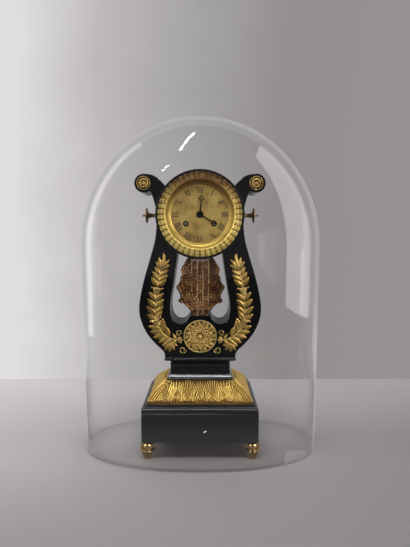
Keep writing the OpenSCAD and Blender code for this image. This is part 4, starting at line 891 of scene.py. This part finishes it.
# medallion: a thin rim, a ring of small flowers, a ring of loops and a flower in the middle, pierced between
# rings and loop are (radius, tube, count), beads (distance, radius, lift),
# leaves (count, start, length, width, lift, shift) and shapes (crown, rise, points along, points around)
medallion = dict(
    centre=195.4, face=-28, count=10, rings=[(26.4, 1.1, 128), (9.6, 0.5, 72)], loop=(2.6, 0.75, 24),
    loopRing=12.6, flowerRing=18.4, petals=5, petal=(5.2, 3.3), beads=(23.6, 0.9, 0.6),
    leafShape=(1.1, 0.4, 9, 10), petalShape=(1.1, 0.3, 8, 10), petalLift=0.6, middleBead=(1.1, 1.3),
    leaves=[
        (10, 19.6, 6.4, 4.4, 0.2, 0.5), (20, 20.4, 5.4, 3.0, 0.1, 0.25), (10, 14.2, 5.6, 3.2, 0.2, 0.5),
        (10, 5.4, 8.4, 3.0, 0.4, 0.0), (10, 5.0, 5.0, 2.0, 0.2, 0.5), (8, 0.9, 4.6, 2.5, 0.9, 0.0),
        (20, 9.8, 6.2, 2.4, 0.0, 0.25), (20, 15.6, 6.0, 2.8, 0.0, 0.0)],
    boss=[(0, 3.2), (0.9, 3.0), (1.5, 2.4), (1.8, 1.4), (1.9, 0), (0, 0)])


# places on a circle round the medallion's middle, at angles in degrees
def ringPlaces(far, angle):
    turn = np.radians(angle)
    return np.stack([far * np.cos(turn), medallion["centre"] + far * np.sin(turn)], 1)


# ring of wire: a slightly deepened round section carried round a place
def wireRing(place, radius, tube, count):
    a = fullTurn(12)
    section = np.stack([radius + tube * np.cos(a), 0.7 + 1.2 * tube * np.sin(a)], 1)
    middle = (place[0], medallion["face"], place[1])
    return turnedForm(section, "front", middle, count, 0.55 + 0.45 * np.sin(a)[:, None], True)


def medallionParts():
    face, height, count = medallion["face"], medallion["centre"], medallion["count"]
    around, half = np.arange(count) * 360 / count + 90, 180 / count
    parts = [wireRing((0, height), *ring) for ring in medallion["rings"]]
    loops = ringPlaces(medallion["loopRing"], around + half)
    parts += [wireRing(place, *medallion["loop"]) for place in loops]
    leafShape = medallion["leafShape"]
    for count, start, length, width, lift, shift in medallion["leaves"]:
        angle = (np.arange(count) + shift) * 360 / count + 90
        parts.append(leafForms(ringPlaces(start, angle), angle, length, width, face, lift, *leafShape))
    middles = ringPlaces(medallion["flowerRing"], around)
    turns = around[:, None] + np.arange(medallion["petals"]) * 360 / medallion["petals"]
    feet = np.repeat(middles, medallion["petals"], 0)
    lift, petalShape = medallion["petalLift"], medallion["petalShape"]
    parts.append(leafForms(feet, turns.reshape(-1), *medallion["petal"], face, lift, *petalShape))
    radius, lift = medallion["middleBead"]
    parts.append(beadForms(middles, radius, face, lift))
    far, radius, lift = medallion["beads"]
    parts += [beadForms(ringPlaces(far, around + turn), radius, face, lift) for turn in (half / 2, -half / 2)]
    return parts + [turnedForm(smoothCurve(medallion["boss"], 3), "front", (0, face, height), 32, 0.8)]


makePiece("piercedMedallion", medallionParts(), ["medallion"], appliedGilt, 50)


# curls: thin wire that winds inwards, radius = r (1 - 0.66 t^1.3), with a bead at its inner end
# places are (x, height above the lyre's foot, radius, angle of the gap)
curls = dict(
    foot=163, face=-28, wire=0.65, bead=0.75, winding=430,
    places=[(34.2, 38.2, 5.8, 200), (28.6, 9.6, 6.5, 120)])


def curlParts(side):
    parts = []
    t = np.linspace(0, 1, 64)
    for x, z, r, gap in curls["places"]:
        a = np.radians(gap + 50 + curls["winding"] * t)
        far = (r - curls["wire"]) * (1 - 0.66 * t**1.3)
        line = np.stack([side * (x + far * np.cos(a)), curls["foot"] + z + far * np.sin(a)], 1)
        parts += [tubeOnFace(line, curls["wire"], curls["face"]),
                  beadForms(line[-1:], curls["bead"], curls["face"], 0.4)]
    return parts


makePiece("scrollCurls", curlParts(-1) + curlParts(1), ["medallion_curls"], gilt, 50)
print("laurels, medallion and curls made")


# bob: the outline drawn in towards its middle
# its height adds a crown, a rim, palmettes, tendrils, flowers and a grainy ground
bob = dict(
    centre=278.47, back=31.8, front=29.3, sheet=0.7, proud=2.2, grain=5.4, rings=84, around=420,
    edge=[
        (0, 52), (14, 49), (22.6, 42.8), (28.3, 34.2), (32.6, 26.9), (34.3, 20.7), (32.4, 13.5),
        (35.5, 8.7), (35.8, 2.9), (38.4, -1.9), (42.9, -9), (39.4, -15.9), (36, -23.6), (36.7, -28.9),
        (39.4, -32.3), (35.5, -37.6), (31.7, -37.1), (26.4, -41.4), (23, -44.8), (17.3, -50.6), (0, -52)],
    palmettes=[
        ((0, -50), 26, 9, 70), ((0, -18), 18, 7, 60), ((20, -36), 17, 7, 75), ((26, 12), 17, 7, 70),
        ((13, 22), 16, 5, 50)],
    tendrils=[
        ((27, -4), 9, 1), ((26, -24), 8, -1), ((24, 30), 8, 1), ((12, -28), 7, -1), ((12, 4), 7.5, 1),
        ((10, 40), 7, -1), ((34, -10), 6, -1)],
    tendrilShare=1.0,
    flowers=[
        ((9.6, 26.5), 4.2, 6), ((0, -16), 4, 6), ((10.6, -29), 3.6, 6), ((0, -36), 4, 6), ((0, 10), 5, 8)],
    hook=dict(halfX=4, halfY=2.0, tall=6, above=24, sink=0.3))


# rho is the share of the way from the middle to the edge
def embossedHeight(x, z, rho):
    side = np.abs(x)
    height = 0.32 + 0.16 * (1 - rho**2) + 0.26 * grains(side, z, bob["grain"]) + 0.42 * ornament(side, z, bob)
    height = height + 0.35 * bell(rho, 0.95, 0.03)
    return unit(height) * unit((1.02 - rho) / 0.05)


# x and z = rho times the outline: the front runs from the middle out, and the flat rear back again
def bobSheet():
    half = smoothCurve(bob["edge"], 16)
    edge = evenly(np.vstack([half, half[-2::-1] * (-1, 1)]), bob["around"] + 1)[:-1]
    rho = np.concatenate([np.linspace(0, 1, bob["rings"]), [1, 0]])[:, None]
    x, z = rho * edge[:, 0], rho * edge[:, 1]
    height = embossedHeight(x, z, rho)
    y = bob["back"] - bob["sheet"] - bob["proud"] * height * np.clip(1 - (np.abs(x) / 60) ** 2, 0.3, 1)
    y[bob["rings"]:] = bob["back"]
    height[bob["rings"]:] = 0.2
    spots = [np.exp(-((np.abs(x) - c[0]) ** 2 + (z - c[1]) ** 2) / 4) for c, _, _ in bob["flowers"]]
    relief = 0.14 + 0.62 * height + 0.4 * np.maximum.reduce(spots)  # painted glints on the flowers
    return surface(x, np.maximum(y, bob["front"]), bob["centre"] + z, relief)


# two small blocks on the back, which hold the rod
def bobHooks():
    hook = bob["hook"]
    x, y, tall = hook["halfX"], hook["halfY"], hook["tall"]
    block = mouldedBlock(x, y, easedLine([(x, 0), (0, 0), (0, tall), (x, tall)], 0.5), 0.4)
    depth = bob["back"] + y - hook["sink"]
    return [moved(block, (0, depth, bob["centre"] + k * hook["above"] - tall / 2)) for k in (-1, 1)]


makePiece("embossedBob", [bobSheet()] + bobHooks(), ["pendulum_bob"], darkBrass, 60)
print("bob made")


# hour figures: straight strokes with thin cross strokes, feet towards the middle of the dial
figures = dict(
    radius=38.7, tall=8.6, front=-37.07, back=-36.9, height=394, thick=0.17, thin=0.07, serif=0.13,
    words=["XII", "I", "II", "III", "IIII", "V", "VI", "VII", "VIII", "IX", "X", "XI"])


# a stroke is (x0, y0, x1, y1, width) with level ends, y from 0 to 1
# a letter is (room, strokes, places of its serifs)
def figureStrokes(word):
    thick, thin, serif = figures["thick"], figures["thin"], figures["serif"]
    letters = {"I": (0.30, [(0, 0, 0, 1, thick)], [(0, 0), (0, 1)]),
               "V": (0.66, [(-0.24, 1, 0, 0, thick), (0.24, 1, 0, 0, thin)], [(-0.24, 1), (0.24, 1)]),
               "X": (0.66, [(-0.22, 1, 0.22, 0, thick), (0.22, 1, -0.22, 0, thin)],
                     [(-0.22, 0), (0.22, 0), (-0.22, 1), (0.22, 1)])}
    rooms = [letters[letter][0] for letter in word]
    starts = np.cumsum([0] + rooms[:-1]) + np.array(rooms) / 2 - sum(rooms) / 2
    made = []
    for start, letter in zip(starts, word):
        _, strokes, ends = letters[letter]
        bars = [(x - serif, y, x + serif, y, thin) for x, y in ends]
        made += [(a + start, b, c + start, d, w) for a, b, c, d, w in strokes + bars]
    return made


# each stroke as a closed block: its four corners at front and back, and a middle that closes each face
def figurePart():
    strokes = [(k, *stroke) for k, word in enumerate(figures["words"]) for stroke in figureStrokes(word)]
    k, x0, y0, x1, y1, w = np.array(strokes, float).T
    level = y0 == y1
    h, v = np.where(level, 0, w / 2), np.where(level, w / 2, 0)
    x = np.stack([x0 - h, *np.where(level, (x1, x1, x0), (x0 + h, x1 + h, x1 - h))], 1)
    y = np.stack([y0 - v, *np.where(level, (y1 - v, y1 + v, y0 + v), (y0, y1, y1))], 1)
    turn = np.radians(30 * k)[:, None]
    far, side = figures["radius"] + (y - 0.5) * figures["tall"], x * figures["tall"]
    cos, sin = np.cos(turn), np.sin(turn)
    flat = far * sin + side * cos, figures["height"] + far * cos - side * sin
    share = np.array([0, 1, 1, 0])[:, None]
    depth = np.array([figures["front"]] * 2 + [figures["back"]] * 2)[:, None]
    x, z = (p.mean(1, keepdims=True)[:, None] * (1 - share) + p[:, None] * share for p in flat)
    return surface(x, depth, z)


makePiece("hourFigures", [figurePart()], [], figureInk, 30, bodyOf["dial_plate"])
print("hour figures made")


# dome: rounded-oval plan |x/a|^power + |y/b|^power = 1, straight wall, then a top that closes as cos and sin
dome = dict(
    halfX=197, halfY=97, tall=553, wall=343, glass=3, power=2.3, around=168, wallRings=8, rings=40,
    rimRound=0.8)


def domeSkin(inset):
    a = fullTurn(dome["around"])
    a = a - 0.28 * np.sin(4 * a) / 4
    b = np.linspace(0, np.pi / 2, dome["rings"])[1:, None]
    wall, count = dome["wall"], dome["wallRings"]
    shrink = np.vstack([np.ones((count, 1)), np.cos(b)])
    shrink[-1] = 0
    z = np.vstack([np.linspace(0, wall, count)[:, None], wall + (dome["tall"] - wall - inset) * np.sin(b)])
    x, y = (np.sign(w) * np.abs(w) ** (2 / dome["power"]) for w in (np.cos(a), np.sin(a)))
    x, y = (dome["halfX"] - inset) * shrink * x, (dome["halfY"] - inset) * shrink * y
    return np.stack([x, y, z + 0 * x])


outer, inner = domeSkin(0), domeSkin(dome["glass"])
rim = 0.5 * (outer[:, :1] + inner[:, :1])
for skin in (outer, inner):
    skin[2, 0] += dome["rimRound"]
domePart = surface(*np.concatenate([outer[:, ::-1], rim, inner], 1))
glassPiece = makePiece("blownDome", [domePart], ["glass_dome"], clearGlass, 70)
print("dome made")


# finishes of the pieces that keep their turned and cut shape
finishes = {
    ebony: ["dial_drum"],
    rawWood: ["bottom_board", "skirt_core"],
    dialGilt: ["dial_plate"],
    stringBrass: ["strings"],
    railBrass: ["string_rail"],
    worksBrass: [
        "front_plate", "back_plate", "pillars", "case_straps", "rear_ring", "going_barrel", "strike_barrel",
        "intermediate_wheel", "centre_wheel", "third_wheel", "escape_wheel", "minute_wheel", "hour_wheel",
        "strike_second_wheel", "pin_wheel", "locking_wheel", "warning_wheel", "fly", "count_wheel",
        "back_cock", "pendulum_rod", "bell_stand"],
    steel: [
        "tie_bolt", "going_click", "strike_click", "anchor", "suspension_spring", "cannon_pinion", "hammer"],
    windingSteel: ["going_winding_arbor", "strike_winding_arbor"],
    bellMetal: ["bell"],
    bluedSteel: ["minute_hand", "hour_hand", "hand_nut", "bell_nut", "going_mainspring", "strike_mainspring"],
}
for material, nodes in finishes.items():
    for node in nodes:
        slots = frame["nodes"][node].data.materials
        slots.clear()
        slots.append(material)
print("finishes set")


# floor, and a wall behind it that only shows from its front; both carry painted shade that darkens from the
# left to the right
# mirrors see painted reflections: a wall that is dark round its middle and pale beyond, and a floor that
# glows, with a painted bright band just in front of the clock, and ends in the dim room behind the viewer
# beside the clock, the outer skin of the glass mirrors a painted paler floor than the black parts do
stageLook = dict(
    floor=[
        (-0.45, (0.76, 0.735, 0.74)), (-0.15, (0.61, 0.585, 0.595)), (0.1, (0.55, 0.525, 0.53)),
        (0.5, (0.48, 0.46, 0.465))],
    # near is painted shade on the floor in front of the clock, and far paints the floor paler behind it
    near=(0.44, 0.425, 0.43), nearShare=(-0.08, -0.3, 0, 0.8), far=(0.93, 0.90, 0.905),
    farShare=(0.02, 0.28, 0, 0.85),
    mirrored=[
        (0.08, (0.03, 0.03, 0.032)), (0.44, (0.12, 0.12, 0.125)), (0.62, (0.20, 0.205, 0.21)),
        (0.66, (0.55, 0.54, 0.53)), (0.685, (0.55, 0.54, 0.53)), (0.71, (0.16, 0.155, 0.155))],
    paintedGlassReflection=[(-0.6, (0.72, 0.70, 0.705)), (0.6, (0.58, 0.55, 0.55))], aside=(0.17, 0.25),
    beside=(-0.3, -0.15),
    wall=[
        (-0.46, (0.75, 0.73, 0.735)), (-0.24, (0.52, 0.495, 0.505)), (0.0, (0.37, 0.355, 0.36)),
        (0.2, (0.29, 0.27, 0.275)), (0.5, (0.31, 0.285, 0.29))],
    pale=[(0.13, (0.2, 0.195, 0.195)), (0.23, (0.62, 0.6, 0.6))], middle=(0, 0, 0.3), wallY=0.318,
    reach=3.0)


def stagePlane(name, corners, material):
    mesh = bpy.data.meshes.new(name)
    mesh.from_pydata(corners, [], [(0, 1, 2, 3)])
    mesh.materials.append(material)
    plane = addObject(name, mesh)
    return plane


# painted shade across the stage: colours from left to right, with stops in metres and a slightly cloudy
# change
def paintedStageShade(near, stops):
    drift = mapped(noise(near, 3, 4), 0.3, 0.7, -0.02, 0.02)
    across = plus(mapped(axesOf(objectPlace(near))["X"], -1, 1, 0, 1), drift)
    return colourRamp(across, [(0.5 + 0.5 * x, colour) for x, colour in stops])


def floorFinish():
    material, shader = newFinish("paleTable", {"Roughness": 0.7, "Specular IOR Level": 0.2})
    path = addNode(shader, "LightPath").outputs
    across, depth, _ = axesOf(objectPlace(shader))
    tone = paintedStageShade(shader, stageLook["floor"])
    # painted shade in front of the clock, and painted light on the floor behind it
    for key in ("near", "far"):
        tone = mixedColour(mapped(depth, *stageLook[key + "Share"]), tone, stageLook[key])
    feed(shader, {"Base Color": tone})
    # painted reflection: to glossy rays the floor glows, dim towards the viewer, with a bright band just in
    # front of the clock
    shown = colourRamp(mapped(depth, -1.0, 0.3, 0, 1), stageLook["mirrored"])
    # painted reflection: a paler floor for the outer skin of the glass beside the clock
    aside = mapped(compute("ABSOLUTE", across), *stageLook["aside"], 0, 1)
    aside = times(aside, mapped(depth, *stageLook["beside"], 0, 1))
    aside = times(aside, compute("LESS_THAN", path["Transparent Depth"], 1.5))  # the outer skin only
    shown = mixedColour(aside, shown, paintedStageShade(shader, stageLook["paintedGlassReflection"]))
    mirrored = addNode(shader, "Emission", {"Color": shown, "Strength": 1.0})
    show(mixedShader(path["Is Glossy Ray"], shader, mirrored))
    return material


def wallFinish():
    material, shader = newFinish("paleWall", {"Roughness": 0.8, "Specular IOR Level": 0.1})
    path = addNode(shader, "LightPath").outputs
    tone = paintedStageShade(shader, stageLook["wall"])
    feed(shader, {"Base Color": tone})
    # painted reflection: glossy rays see the wall dark round its middle and pale beyond
    pale = colourRamp(ovalDistance(shader, stageLook["middle"], (1, 1e6, 1)), stageLook["pale"])
    colour = mixedColour(path["Is Glossy Ray"], tone, pale)
    # painted light: the wall glows with its painted tone for the camera and for mirrors instead of being lit
    shown = addNode(shader, "Emission", {"Color": colour, "Strength": 1.0})
    front = mixedShader(compute("MAXIMUM", path["Is Camera Ray"], path["Is Glossy Ray"]), shader, shown)
    behind = addNode(shader, "NewGeometry").outputs["Backfacing"]
    show(mixedShader(behind, front, addNode(shader, "BsdfTransparent")))
    return material


far, wallY = stageLook["reach"], stageLook["wallY"]
flat = [(-far, -far, 0), (far, -far, 0), (far, far, 0), (-far, far, 0)]
upright = [(-far, wallY, 0), (far, wallY, 0), (far, wallY, far), (-far, wallY, far)]
floorPlane = stagePlane("floor", flat, floorFinish())
stagePlane("wall", upright, wallFinish())


# soft light: a room that is dim overhead and behind the viewer
room = dict(
    stops=[
        (0.0, (0.25, 0.24, 0.25)), (0.5, (0.42, 0.41, 0.42)), (0.62, (0.34, 0.33, 0.34)),
        (1.0, (0.10, 0.10, 0.11))],
    strength=(-0.9, 0.1, 0.3, 1))
world = bpy.data.worlds.new("softRoom")
world.use_nodes = True
background = world.node_tree.nodes["Background"]
_, forward, upward = axesOf(addNode(background, "TexCoord").outputs["Generated"])
feed(background, {"Color": colourRamp(mapped(upward, -1, 1, 0, 1), room["stops"]),
                  "Strength": mapped(forward, *room["strength"])})
bpy.context.scene.world = world

# lamps by what they light: room is all but the glass, clock all but the glass and the floor, and the others
# only the polish, the skirt, the bezel, the floor, or the glass, which mirrors two tubes and two windows
# a lamp is (place, turn in degrees or aim, size, power, colour), and aims where its turn is a Vector
lamps = dict(
    room=dict(topTube=((-0.10, -0.66, 1.45), Vector((0, 0, 0.2)), (1.3, 0.05), 5, (1, 0.99, 0.98))),
    clock=dict(windowLamp=((-1.1, -1.4, 0.8), Vector((0, 0, 0.28)), (0.6, 0.8), 8, (0.98, 0.99, 1)),
               frontLamp=((1.05, -1.5, 0.72), Vector((0, 0, 0.28)), (0.8, 0.6), 15, (1, 0.97, 0.95))),
    polish=dict(polishLamp=((-0.10, -0.66, 1.45), Vector((0, 0, 0.2)), (1.3, 0.3), 30, (0.97, 0.98, 1))),
    gilding=dict(giltLamp=((-0.05, -0.28, 1.45), Vector((0, -0.05, 0.1)), (0.9, 0.3), 3.5, (1, 0.98, 0.95))),
    leaves=dict(bezelLamp=((0.0, -1.2, 0.2), Vector((0, 0, 0.35)), (0.9, 0.3), 3.2, (1, 0.98, 0.95))),
    glass=dict(longTube=((-0.107, -0.355, 1.30), (0, 0, 71), (0.41, 0.016), 0.75, (1, 1, 1)),
               shortTube=((-0.39, -0.895, 1.30), (0, 0, 48), (0.17, 0.014), 0.21, (1, 1, 1)),
               rightWindow=((1.0, -0.35, 1.035), (90, 0, 90), (0.76, 1.93), 17, (1, 0.95, 0.94)),
               leftWindow=((-1.0, 0.12, 1.0), (90, 0, -90), (0.3, 2.0), 4.6, (1, 0.98, 0.97))),
    table=dict(tableLamp=((-0.62, 0.25, 0.5), (0, 0, 0), (0.2, 0.3), 0.55, (1, 0.98, 0.98)),
               ceilingLamp=((0.05, -0.5, 1.6), (0, 0, 0), (1.2, 0.8), 6.6, (1, 0.98, 0.98)),
               rearLamp=((-0.03, 0.2, 1.25), (0, 0, 0), (0.3, 0.2), 0.15, (1, 0.98, 0.98))))
beams = dict(rearLamp=40)  # degrees; the other lamps shine to all sides
leftDark = dict(room=[glassPiece], clock=[glassPiece, floorPlane])
lit = dict(polish=[boxPiece, moulded["plinthCap"], moulded["pedestalBlock"]], gilding=[skirtPiece],
           leaves=[bezelPiece], glass=[glassPiece], table=[floorPlane])
for group, members in {**leftDark, **lit}.items():
    linked = bpy.data.collections.new(group)
    for member in members:
        linked.objects.link(member)
    for entry in linked.collection_objects:
        entry.light_linking.link_state = "EXCLUDE" if group in leftDark else "INCLUDE"
    for name, (place, turn, size, power, colour) in lamps[group].items():
        data = bpy.data.lights.new(name, "AREA")
        data.shape = "RECTANGLE"
        data.size, data.size_y = size
        data.energy = power
        data.color = colour
        data.spread = math.radians(beams.get(name, 180))
        holder = addObject(name, data)
        holder.location = place
        if isinstance(turn, Vector):
            holder.rotation_euler = (turn - Vector(place)).to_track_quat("-Z", "Y").to_euler()
        else:
            holder.rotation_euler = [math.radians(angle) for angle in turn]
        holder.light_linking.receiver_collection = linked
print("stage and light made")
